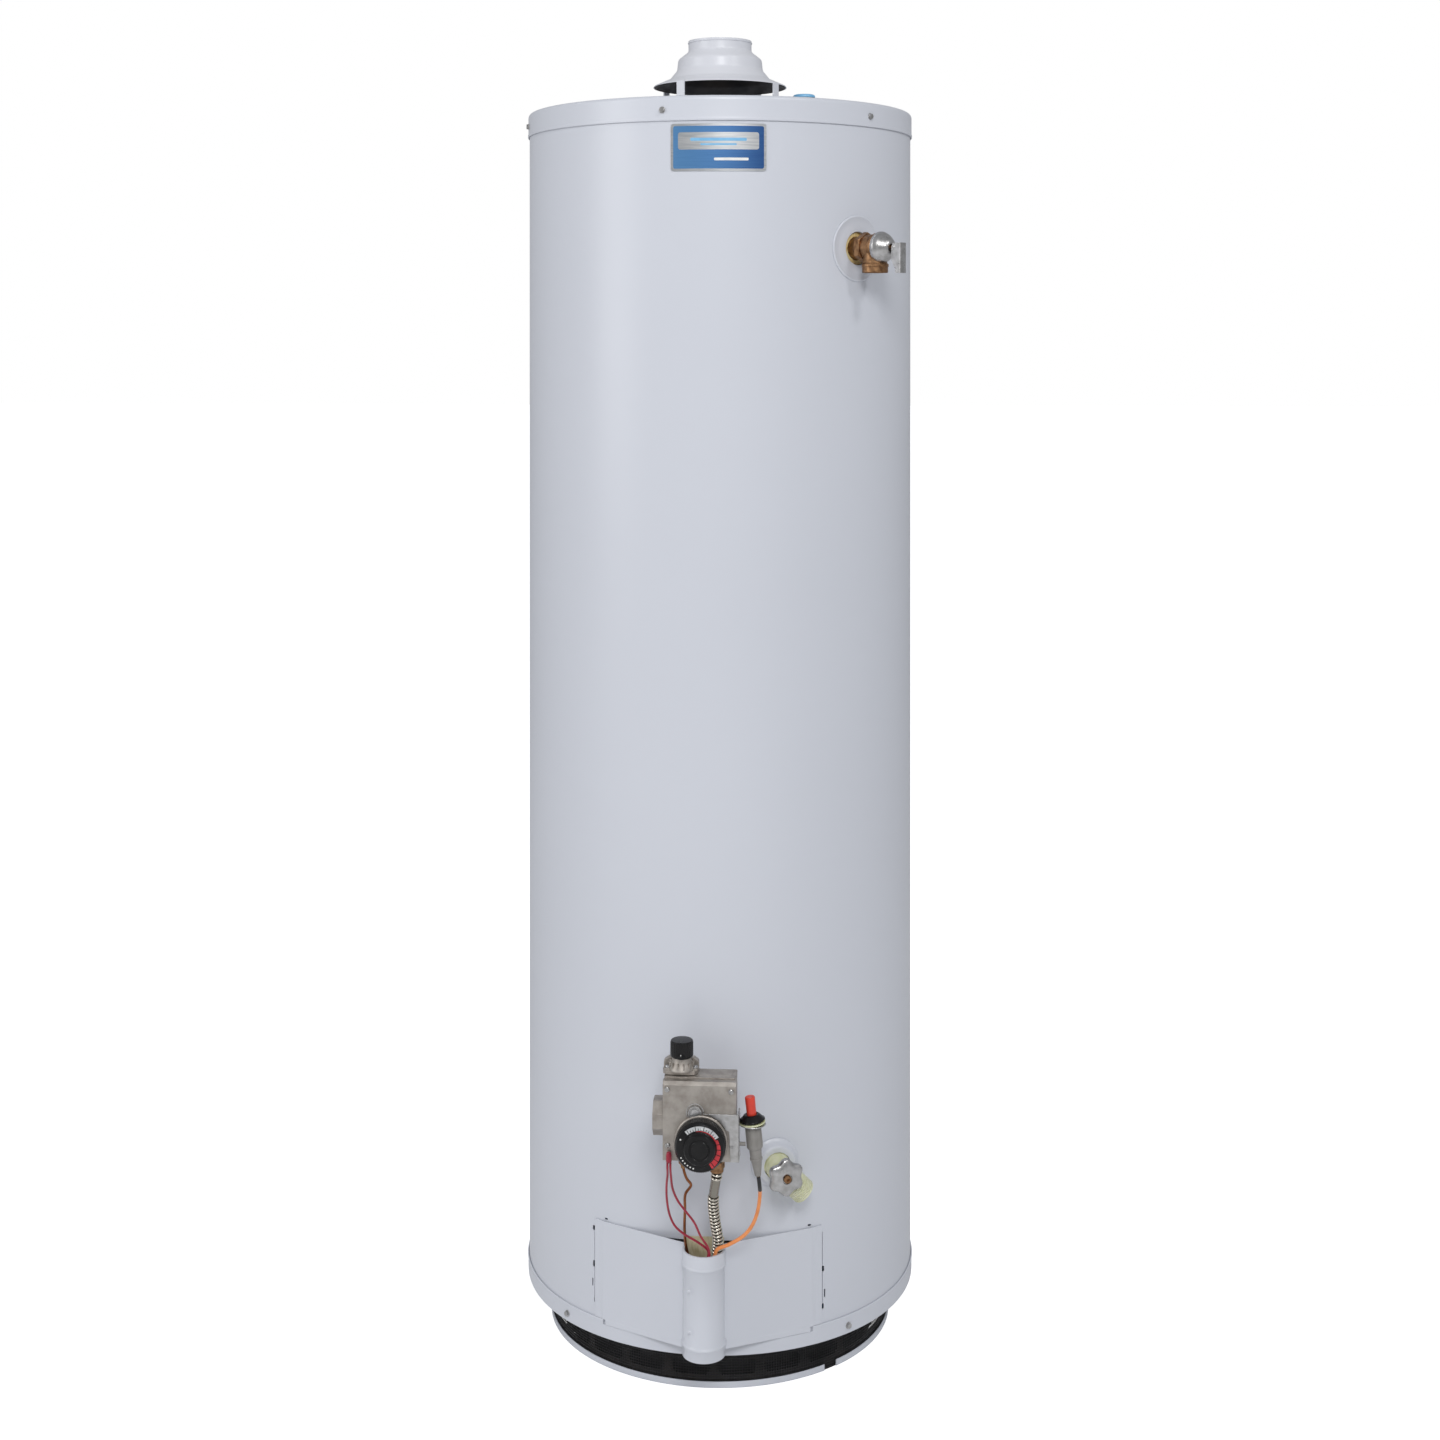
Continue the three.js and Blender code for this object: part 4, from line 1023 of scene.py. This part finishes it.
def makeReliefValve(v):
    place = atSide(v["angle"], v["z"])
    side = place @ outward  # heights now run out from the tank's axis
    down = place @ shifted(0, -256, 0)
    barrel = turned([(0, 195), (13, 195), (13, 244), (15, 247), (15, 258), (16.8, 260), (16.8, 262),
                     (15.8, 263), (0, 263)], 96)
    hexagon = carved([prism(circle(18, 6, start=30), 238.2, 246)], [
        turned([(16, 245.2), (22, 242.2), (22, 250), (16, 250)], 48)])
    outlet = turned([(0, -8), (12, -8), (12, -27.2), (12.6, -28), (14.1, -28), (14.5, -27.4), (14.5, -18),
                     (13.6, -17), (13.6, -3), (0, -3)], 96)
    shelf = turned([(14.3, -21.6), (15.2, -21.2), (15.2, -18.6), (14.3, -18.2)], 64)
    body = [moved(barrel, side), moved(hexagon, side), moved(outlet, down), moved(shelf, down)]
    softEdges(makePiece("relief_valve_casting", body, "brass", replaced=["relief_valve_body"], sharp=40), 0.4)
    rim = turned([(12.1, -26.6), (12.1, -28.0), (13.9, -28.0), (13.9, -27.7), (12.9, -26.6)], 64)
    threads = copiesRound([turned([(11.4, 0), (12.1, -0.6), (12.1, 0.6)], 48)], 9, 0, rise=1.8)
    makePiece("relief_outlet_thread", [moved(rim, down), moved(threads, down, shifted(0, 0, -26))], "brass")

    bonnet = turned(rounded([(13.6, 263.3), (17.7, 263.3), (17.7, 267.6), (15.6, 271.6), (9.4, 279.2), (6.4, 281.4),
                             (3.3, 281.5), (3.3, 276.5), (13.6, 268)], 1.0, 3), 96)
    grooves = turned([(17.2, 265.5), (17.75, 265.9), (17.75, 267.2), (17.2, 267.6)], 96)
    makePiece("relief_bonnet_cap", [moved(bonnet, side), moved(grooves, side)], "zinc", replaced=["relief_bonnet"],
              sharp=50)
    stem = turned([(0, 264), (7, 264), (7, 265.8), (2.6, 265.8), (2.6, 290.6), (2.1, 291.2), (0, 291.2)], 48)
    makePiece("relief_stem_rod", [moved(stem, side)], "brass", "relief_stem", ["relief_stem"])

    # The test lever: a channel with a rounded, turned-out lower end and the pin it hangs on
    channel = rounded([(-4.8, -284.4), (-4.8, -298.3), (4.8, -298.3), (4.8, -284.4), (3.6, -284.4),
                       (3.6, -297.1), (-3.6, -297.1), (-3.6, -284.4)], 1.0, 3)
    cutAway = prism([(-280, 6), (-287.5, 6), (-283.6, -3.5), (-283.6, -12), (-290.5, -25), (-290.5, -31),
                     (-280, -31)], -8, 8)
    lever = carved([prism(channel, -29, 4.4)], [moved(cutAway, spun(90, "Z"), spun(90, "X"))])
    pin = moved(rod(1.0, -5.1, 5.1, 0.2, 32), shifted(0, -288, 0), spun(90, "Y"))
    pinHead = turned([(0, 4.7), (1.9, 4.7), (1.6, 5.4), (0, 5.7)], 24)
    pinHeads = [moved(pinHead, shifted(0, -288, 0), spun(turn, "Y")) for turn in (-90, 90)]
    softEdges(makePiece("relief_lever_channel", [moved(shape, place) for shape in (lever, pin, *pinHeads)], "zinc",
                        "relief_lever", ["relief_lever"]), 0.25)


makeReliefValve(reliefPlace)

print("heater: drain valve")
wheelSizes = {"lobes": 6, "reach": 18.6, "swing": -1.7}


def makeDrainValve(v, w):
    place = atSide(v["angle"], v["z"])
    side = place @ outward
    spoutWay = place @ shifted(0, -251, 0) @ spun(135, "Y")
    spout = turned([(0, 2), (12.2, 2), (12.2, 18), (13.3, 19.5), (13.3, 37.2), (12.7, 38), (10.1, 38),
                    (9.5, 37.4), (9.5, 14), (0, 14)], 96)
    threads = copiesRound([turned([(13.1, -0.9), (13.1, 0.9), (13.9, 0.25), (13.9, -0.25)], 64)], 6, 0, rise=2.6)
    threads = moved(threads, spoutWay, shifted(0, 0, 22.5))
    barrel = turned([(0, 195), (13, 195), (13, 238), (13.9, 239), (13.9, 263.4), (13.2, 264.6), (4.7, 264.6),
                     (4.7, 253), (0, 253)], 96)
    hexagon = prism(circle(16.5, 6), 232.2, 238)
    body = [moved(barrel, side), moved(hexagon, side), moved(spout, spoutWay), threads]
    moulding = makePiece("drain_valve_moulding", body, "pale_plastic", replaced=["drain_valve_body"], sharp=40)
    softEdges(moulding, 0.3)

    stem = turned([(0, 253), (4.2, 253), (4.2, 276.8), (3.7, 277.5), (1.7, 277.5), (1.7, 275.2), (0, 275.2)], 64)
    makePiece("drain_stem_rod", [moved(stem, side)], "brass", "drain_stem", ["drain_stem"])

    def lobed(scale, depth, even=0.0):
        made = []
        for i in range(144):
            turn = 2 * math.pi * i / 144
            reach = w["reach"] * scale + (1 - even) * w["swing"] * math.cos(w["lobes"] * turn)
            made.append((reach * math.cos(turn), reach * math.sin(turn), depth))
        return made
    wheel = lofted([lobed(0.45, 269.0, 1), lobed(0.9, 268.6, 0.2), lobed(0.97, 267.2), lobed(1.0, 268.0),
                    lobed(1.0, 271.4), lobed(0.97, 272.6), lobed(0.9, 273.5, 0.2), lobed(0.7, 274.5, 0.7),
                    lobed(0.5, 275.0, 1), lobed(0.3, 275.2, 1), lobed(0.28, 274.2, 1)])
    hub = turned(rounded([(4.6, 265), (8, 265), (8, 270), (4.6, 270)], 0.8, 3), 64)
    bore = rod(4.5, 255, 290)
    whole = carved([wheel], [bore])
    makePiece("drain_handwheel_casting", [moved(shape, side) for shape in (whole, hub)], "zinc", "drain_handwheel",
              ["drain_handwheel"], sharp=45)


makeDrainValve(drainPlace, wheelSizes)

print("heater: gas control")
dialSizes = {"x": 2.0, "z": 318.5, "radius": 26.5}
controlSizes = {"halfWidth": 38.7, "front": -314.0, "coverBack": -303.4, "back": -277.0,
                "bottom": 297.5, "top": 380.5}


def makeControlBody(c):
    w, front = c["halfWidth"], c["front"]
    # front cover: slopes back along its top edge
    profile = [(c["coverBack"], c["bottom"]), (c["coverBack"], c["top"]), (front + 3.0, c["top"]),
               (front, c["top"] - 3.4), (front, c["bottom"])]
    acrossX = spun(90, "Z") @ spun(90, "X")
    cover = moved(prism(profile, -w, w), acrossX)
    rearCorner = roundedRectangle(76.4, 26.3, 2.5, 0, (c["back"] + c["coverBack"]) / 2)
    blockRear = prism(rearCorner, 299, 381.8)
    ribBack = prism(roundedRectangle(60, 18, 3, 4, -288), 381.6, 382)
    inlet = shifted(-38, -293, 337) @ spun(-90, "Y")
    octagon = prism(circle(18.5 / math.cos(math.pi / 8), 8, start=22.5), 0, 12)
    boss = moved(carved([octagon], [rod(9.4, -5, 20)]), inlet)
    lip = moved(turned([(9.4, 11.6), (12.4, 11.6), (12.0, 12.3), (9.9, 12.3)], 64), inlet)
    spud = moved(rod(17.2, 192, 277.4), shifted(0, 0, 337), outward)
    lowBosses = [moved(rod(radius, low, 299.5, 0.6, 6), shifted(x, -291, 0))
                 for x, radius, low in ((17, 9.5, 290), (-20, 5, 292))]
    casting = [cover, blockRear, ribBack, boss, spud, *lowBosses]
    body = makePiece("gas_valve_casting", casting, "cast_aluminium", replaced=["gas_valve_body"], sharp=40)
    softEdges(body, 1.1, 3)
    bezel = turned(rounded([(20, 313.9), (28.5, 313.9), (28.5, 316.4), (27.4, 317.6), (20, 317.6)], 0.8, 3), 128)
    cap = turned([(0, 313.9), (7.6, 313.9), (7.6, 315.6), (6.9, 316.6), (5.9, 316.6), (5.4, 316.1),
                  (4.6, 316.1), (4.1, 316.9), (0, 317)], 64)
    collar = turned([(8.4, 313.9), (9.6, 313.9), (9.4, 314.7), (8.6, 314.7)], 64)
    bezel = moved(bezel, shifted(dialSizes["x"], 0, dialSizes["z"]), outward)
    makePiece("gas_valve_bezel", [bezel, lip], "cast_aluminium", sharp=40)
    makePiece("gas_valve_cap", [moved(shape, shifted(-4.5, 0, 349), outward) for shape in (cap, collar)], "zinc",
              sharp=40)
    places = [(Vector((x, front + 0.2, z)), Vector((0, -1, 0)))
              for x, z in ((-34.2, 372.4), (33.6, 371.6), (-33.6, 313.5), (34.6, 314.0))]
    makePiece("gas_valve_screws", [headsAt(places, screwHead(3.0, 1.9))], "zinc")
    stub = moved(rod(2.1, 0, 7, 0.5, 32), shifted(41.5, -306, 314), spun(90, "Y"))
    makePiece("gas_valve_stub", [stub], "grey_plastic")


gasCock = (-20.5, -290.0)  # where the cock's upright axis stands


def makeTurret():
    x, y = gasCock
    foot = rounded([(-40.4, -277.5), (-40.4, -294), (-36, -299), (-6, -299), (-2.6, -294), (-2.6, -277.5)], 2.2, 4)
    plate = prism(foot, 382.3, 386.6)
    tower = turned([(0, 386), (14.5, 386), (14.2, 388.2), (12.2, 391.6), (10.6, 395.5), (10.3, 398.6),
                    (9.9, 399), (5.4, 399), (5.4, 383), (0, 383)], 64)
    spots = [(x + side * 14.4, -293.6) for side in (-1, 1)]
    seats = [prism(roundedRectangle(8.6, 8.6, 3.6, *spot), 386, 388.6) for spot in spots]
    ears = rounded([(-40.2, 386), (-2.8, 386), (-2.8, 392.3), (-8, 396.3), (-35, 396.3), (-40.2, 392.3)], 1.2, 3)
    ears = moved(prism(ears, 277.7, 285.8), outward)
    rib = prism([(-1.1, 387), (1.1, 387), (0.7, 394.5), (-0.7, 394.5)], 10.2, 13.9)
    ribs = copiesRound([moved(rib, outward)], 12, 30, 15)
    shapes = [plate, moved(tower, shifted(x, y, 0)), ears, *seats, moved(ribs, shifted(x, y, 0))]
    turret = makePiece("gas_cock_turret_casting", shapes, "cast_aluminium", replaced=["gas_cock_turret"], sharp=40)
    softEdges(turret, 0.5)
    places = [(Vector((*spot, 388.8)), Vector((0, 0, 1))) for spot in spots]
    makePiece("gas_cock_turret_screws", [headsAt(places, screwHead(3.2, 2.2))], "zinc")
    low, high = boxMm("gas_cock_plug")
    plug = turned([(0, low.z), (5, low.z), (5, 396), (4.6, 396.5), (3, 396.5), (3, high.z - 0.5),
                   (2.5, high.z), (0, high.z)], 48)
    makePiece("gas_cock_plug_rod", [moved(plug, shifted(x, y, 0))], "brass", "gas_cock_plug", ["gas_cock_plug"])


def makeKnob():
    x, y = gasCock
    shell = turned([(0, 408.5), (10.9, 408.5), (10.9, 400), (11.9, 400), (12.1, 400.6), (11.9, 415.6),
                    (11.6, 416.5), (10.9, 416.9), (0, 417)], 96)
    flute = turned([(0, 401), (0.62, 401), (0.55, 415.2), (0, 415.4)], 8)
    flutes = copiesRound([flute], 28, 360 / 28, 0, 11.75)
    # (height, half width at the shell, half width at the tip, the tip's reach)
    pointer = lofted([[(-wide, -10.95, z), (wide, -10.95, z), (tip, -reach, z), (-tip, -reach, z)]
                      for z, wide, tip, reach in ((400.3, 5.2, 1.3, 14.8), (402.2, 5.2, 1.3, 14.8),
                                                  (404.6, 4.4, 0.9, 13.4))])
    rib = lofted([[(-w, -11.6, z), (w, -11.6, z), (w * 0.8, -2, z), (-w * 0.8, -2, z)]
                  for z, w in ((404, 2.2), (415.5, 1.6), (417.3, 1.0))])
    shapes = [moved(shape, shifted(x, y, 0)) for shape in (shell, flutes, pointer, rib)]
    softEdges(makePiece("gas_cock_knob_moulding", shapes, "black_plastic", "gas_cock_knob", ["gas_cock_knob"]), 0.2)
    mark = moved(block(-0.5, 0.5, -14.4, -10.4, 404.4, 404.75), shifted(x, y, 0))
    makePiece("gas_cock_knob_mark", [mark], "white_ink", "gas_cock_knob")


makeControlBody(controlSizes)
makeTurret()
makeKnob()


def arcBand(inner, outer, start, end, low, high, sides=48):
    # On the dial's face, clockwise from its top; inner and outer each give the radius at start and at end.
    points, faces = [], []
    for i in range(sides + 1):
        t = i / sides
        angle = math.radians(start + (end - start) * t)
        near = inner[0] + (inner[1] - inner[0]) * t
        far = outer[0] + (outer[1] - outer[0]) * t
        for radius, depth in ((near, low), (far, low), (far, high), (near, high)):
            points.append((radius * math.sin(angle), -depth, radius * math.cos(angle)))
    for i in range(sides):
        for k in range(4):
            a, b = i * 4 + k, i * 4 + (k + 1) % 4
            faces.append([a, b, b + 4, a + 4])
    faces += [[0, 1, 2, 3], [sides * 4 + k for k in range(4)]]
    return points, faces


def makeDial(d):
    place = shifted(d["x"], 0, d["z"])
    face = place @ outward
    r = d["radius"]
    profile = [(0, 309), (4, 309), (4, 318), (r - 0.4, 318), (r, 318.5), (r, 329.4), (r - 0.5, 330.6),
               (r - 1.7, 332.8), (r - 2.4, 333.2), (18.6, 333.4), (17.6, 333.9), (16.6, 337.6), (15.6, 338.6),
               (14, 338.9), (11.2, 338.9), (10.6, 338.3), (9.8, 338.3), (9.2, 338.9), (0, 339)]
    body = [moved(turned(profile, 128), face)]
    ribs = copiesRound([turned([(0, 319), (0.55, 319), (0.5, 329.4), (0, 329.8)], 8)], 90, 4, 0, r - 0.1)
    body.append(moved(ribs, face))
    makePiece("temperature_dial_moulding", body, "black_plastic", "temperature_dial", ["temperature_dial"], sharp=30)
    silver = arcBand((18.9, 18.9), (23.4, 23.4), -42, 58, 333.1, 333.5)
    makePiece("temperature_dial_scale", [moved(silver, place)], "brushed_silver", "temperature_dial")
    red = [arcBand((17.3, 17.6), (18.3, 19.2), -12, 62, 333.1, 333.75),
           arcBand((18.0, 18.2), (21.0, 24.2), 62, 148, 333.1, 333.6)]
    makePiece("temperature_dial_hot_band", [moved(s, place) for s in red], "red_ink", "temperature_dial")
    ticks = [arcBand((19.0, 19.0), (21.2 if i % 3 else 23.2,) * 2, a - 0.9, a + 0.9, 333.4, 333.62, 2)
             for i, a in enumerate(range(-36, 56, 8))]
    ticks += [arcBand((18.4, 18.4), (23.6, 23.6), a - 1.0, a + 1.0, 333.4, 333.7, 2) for a in (76, 92, 108, 124, 140)]
    makePiece("temperature_dial_ticks", [moved(s, place) for s in ticks], "black_plastic", "temperature_dial")
    dots = [moved(turned([(0, 333.1), (0.9, 333.1), (0.8, 333.7), (0, 333.8)], 24), face,
                  shifted(radius * math.sin(math.radians(a)), radius * math.cos(math.radians(a)), 0))
            for a, radius in ((6, 20.6), (-66, 22.0))]
    dots += [moved(arcBand((21.2, 21.2), (22.6, 22.6), a, a + 3.5, 333.1, 333.6, 3), place)
             for a in range(196, 250, 9)]
    makePiece("temperature_dial_dots", dots, "white_ink", "temperature_dial")


makeDial(dialSizes)

print("heater: igniter")
igniterSizes = {"x": 55.5, "y": -300.0, "z": 334.0, "tilt": 6.0}


def makeIgniter(g):
    plate = [(4, 348), (4, 342.5), (31.5, 330), (33, 298), (42.2, 298), (42.2, 348)]
    clearance = moved(rod(29, 300, 330), shifted(dialSizes["x"], 0, dialSizes["z"]), outward)
    sheet = carved([moved(prism(plate, 314.3, 315.7), outward)], [clearance])
    flange = block(40.8, 42.2, -315.7, -296, 298, 348)
    washer = turned([(7.2, -1.4), (13.6, -1.4), (14.2, -1.0), (14.2, -0.3), (13.8, 0), (7.2, 0)], 96)
    arm = block(41.6, 49, -305.5, -294.5, g["z"] - 1.4, g["z"])
    washer = moved(washer, shifted(g["x"], g["y"], g["z"]))
    bracket = makePiece("igniter_bracket_sheet", [sheet, flange, arm, washer], "zinc", replaced=["igniter_bracket"])
    softEdges(bracket, 0.35)
    place = shifted(g["x"], g["y"], g["z"]) @ spun(-g["tilt"], "Y")
    body = rounded([(0, -56), (3.1, -56), (3.5, -55), (6.1, -37), (6.6, -27.4), (8.2, -26), (8.5, -24), (8.5, -5),
                    (8.1, -3.4), (6.6, -3.4), (6.6, 1.6), (5.6, 1.6), (5.6, -20), (0, -20)], 0.6, 3, closed=False)
    seam = turned([(6.0, -38.4), (6.75, -38.4), (6.8, -36.6), (6.2, -36.2)], 64)
    ribs = copiesRound([block(-0.5, 0.5, -0.5, 0.3, -24.5, -5.5)], 8, 45, 22.5, 8.4)
    makePiece("igniter_body_moulding", [moved(s, place) for s in (turned(body, 96), seam, ribs)], "grey_plastic",
              replaced=["igniter_body"], sharp=40)
    collar = turned(rounded([(5.6, 2.9), (13, 2.9), (13.2, 3.8), (12.6, 4.6), (8.6, 8.9), (7.6, 9.5),
                             (5.6, 9.5)], 0.5, 3), 96)
    notches = copiesRound([block(-0.55, 0.55, -0.6, 0.5, 3.0, 4.4)], 24, 15, 0, 13.0)
    makePiece("igniter_collar_nut", [moved(collar, place), moved(notches, place)], "black_plastic",
              replaced=["igniter_collar"], sharp=40)
    gasket = turned(rounded([(6.9, 0.2), (13.6, 0.2), (14, 0.9), (13.8, 1.7), (6.9, 1.7)], 0.3, 2), 96)
    makePiece("igniter_gasket", [moved(gasket, place)], "pale_plastic")
    button = turned(rounded([(0, -11), (5.2, -11), (5.2, 20), (5.35, 20.3), (5.35, 27.3), (4.7, 28.3),
                             (3.4, 28.1), (0, 27.7)], 0.7, 3, closed=False), 64)
    makePiece("igniter_button_cap", [moved(button, place)], "button_red", "igniter_button", ["igniter_button"])


makeIgniter(igniterSizes)

print("heater: lines")
lineSizes = {"tubeMiddle": 5.25, "tubeSwell": 0.95, "tubePitch": 4.7, "tubeStep": 0.45,
             "smoothFrom": 20, "smoothTo": 44}
flexRoute = [(17, -291, 289.6), (17, -290.5, 277), (12, -276.6, 241), (13, -266.3, 215), (15.6, -256.2, 189),
             (14, -250.5, 173), (13.5, -248, 150), (13, -241, 127), (13, -225, 114.5), (13, -209.5, 114)]
thermocoupleRoute = [(-20, -291, 291.6), (-18, -291, 277), (-15.2, -287, 267), (-11.2, -284.4, 260),
                     (-17.5, -279.6, 248), (-18.7, -272, 228.5), (-20, -263, 205), (-19.6, -254.7, 184),
                     (-17.5, -250, 170), (-14, -246, 145), (-10, -236, 125), (-8, -222, 115), (-8, -209.2, 113)]


def makeLines(s):
    route = smoothRoute(flexRoute)
    host = rawObject("flexLine", [(route, [])])
    host.data.edges.add(len(route) - 1)
    for i, edge in enumerate(host.data.edges):
        edge.vertices = (i, i + 1)
    tube = grown(corrugatedTube, {
        "Rings": round(routeLength(route) / mm / s["tubeStep"]), "Middle": s["tubeMiddle"] * mm,
        "Swell": s["tubeSwell"] * mm, "Pitch": s["tubePitch"] * mm, "Smooth From": s["smoothFrom"] * mm,
        "Smooth To": s["smoothTo"] * mm, "Finish": finishes["nickel"]}, host)
    nut = [moved(prism(circle(8.6, 6, start=10), 281.5, 289.4), shifted(17, -290.8, 0)),
           moved(rod(7.2, 277.5, 282, 0.8), shifted(17, -290.6, 0))]
    line = makePiece("flex_gas_tube_corrugated", [tube], "nickel", replaced=["flex_gas_tube"], sharp=60)
    # How deep each point lies below the ribs, kept for the painted shade in the tube's finish: the tube's points come
    # in rings round its middle line.
    groove_shade = line.data.attributes.new("groove_shade", "FLOAT", "POINT")
    crest, sides = s["tubeMiddle"] + s["tubeSwell"], tubeSides
    for i in range(len(tube[0]) // sides):
        around = tube[0][i * sides:(i + 1) * sides]
        depth = crest - (around[0] - sum(around, Vector()) / sides).length
        for k in range(sides):
            groove_shade.data[i * sides + k].value = depth / (2 * s["tubeSwell"])
    softEdges(makePiece("flex_gas_tube_nut", nut, "brass"), 0.5)
    wire = makeCurve("thermocouple_tube", smoothRoute(thermocoupleRoute), 1.5, "copper")
    settle(wire, "root", ["thermocouple_lead"])
    nut = [moved(prism(circle(4.4, 6), 285.2, 291.6), shifted(-19.6, -291, 0)),
           moved(turned([(1.4, 280.5), (2.4, 280.5), (2.9, 285.4), (1.4, 285.4)], 32), shifted(-19, -291, 0))]
    softEdges(makePiece("thermocouple_nut", nut, "brass"), 0.3)
    boot = turned(rounded([(0, 296.9), (2.6, 296.9), (3.0, 298), (3.0, 304), (2.4, 307), (1.6, 308),
                           (0, 308)], 0.5, 3, closed=False), 48)
    makePiece("switch_boot_sleeve", [moved(boot, shifted(-31.8, -317.4, 0))], "wire_red", replaced=["switch_boot"])
    lead = smoothRoute(cordRoutes["igniter_lead"]["points"])
    sleeve = makeCurve("igniter_lead_sleeve", lead[:10], 2.2, "black_sleeve")
    settle(sleeve, "root", [])


makeLines(lineSizes)

# Studio: a white sweep, a soft light high in front, a smaller one high on the right, a wide one on the left
print("heater: studio")
studio = {"floorSize": 60.0, "ambient": 0.44, "ambientColour": "#f3f5f9",
          "key": 58.0, "keyAt": (0.5, -3.5, 3.0), "keySize": (1.1, 1.1),
          "side": 26.0, "sideAt": (2.5, -2.3, 3.6), "sideSize": (0.5, 0.5),
          "fill": 34.0, "fillAt": (-3.0, -1.9, 1.9), "fillSize": (1.4, 2.4)}


def makeLight(name, place, size, watts):
    data = bpy.data.lights.new(name, "AREA")
    data.shape, data.size, data.size_y, data.energy = "RECTANGLE", size[0], size[1], watts
    light = bpy.data.objects.new(name, data)
    light.location = place
    heaterMiddle = Vector((0, 0, 0.75))
    light.rotation_euler = (heaterMiddle - Vector(place)).to_track_quat("-Z", "Y").to_euler()
    scene.collection.objects.link(light)


def makeStudio(s):
    mesh = bpy.data.meshes.new("floor")
    half = s["floorSize"] / 2
    mesh.from_pydata([(-half, -half, 0), (half, -half, 0), (half, half, 0), (-half, half, 0)], [], [(0, 1, 2, 3)])
    mesh.materials.append(finishes["floor"])
    floor = bpy.data.objects.new("floor", mesh)
    scene.collection.objects.link(floor)
    # The sweep itself is white; what it throws on the heater is softer and slightly blue.
    world = bpy.data.worlds.new("studio")
    scene.world = world
    world.use_nodes = True
    tree = world.node_tree
    tree.nodes.clear()
    seen = addNode(tree, "ShaderNodeLightPath").outputs["Is Camera Ray"]
    soft = addNode(tree, "ShaderNodeBackground", {
        "Color": hexColour(s["ambientColour"]), "Strength": s["ambient"]}).outputs[0]
    white = addNode(tree, "ShaderNodeBackground", {"Color": hexColour("#ffffff"), "Strength": 1.0}).outputs[0]
    sweep = addNode(tree, "ShaderNodeMixShader", {0: seen, 1: soft, 2: white}).outputs[0]
    addNode(tree, "ShaderNodeOutputWorld", {"Surface": sweep})
    makeLight("keyLight", s["keyAt"], s["keySize"], s["key"])
    makeLight("sideLight", s["sideAt"], s["sideSize"], s["side"])
    makeLight("fillLight", s["fillAt"], s["fillSize"], s["fill"])
    scene.view_settings.view_transform = "Standard"


makeStudio(studio)

print("heater: done")
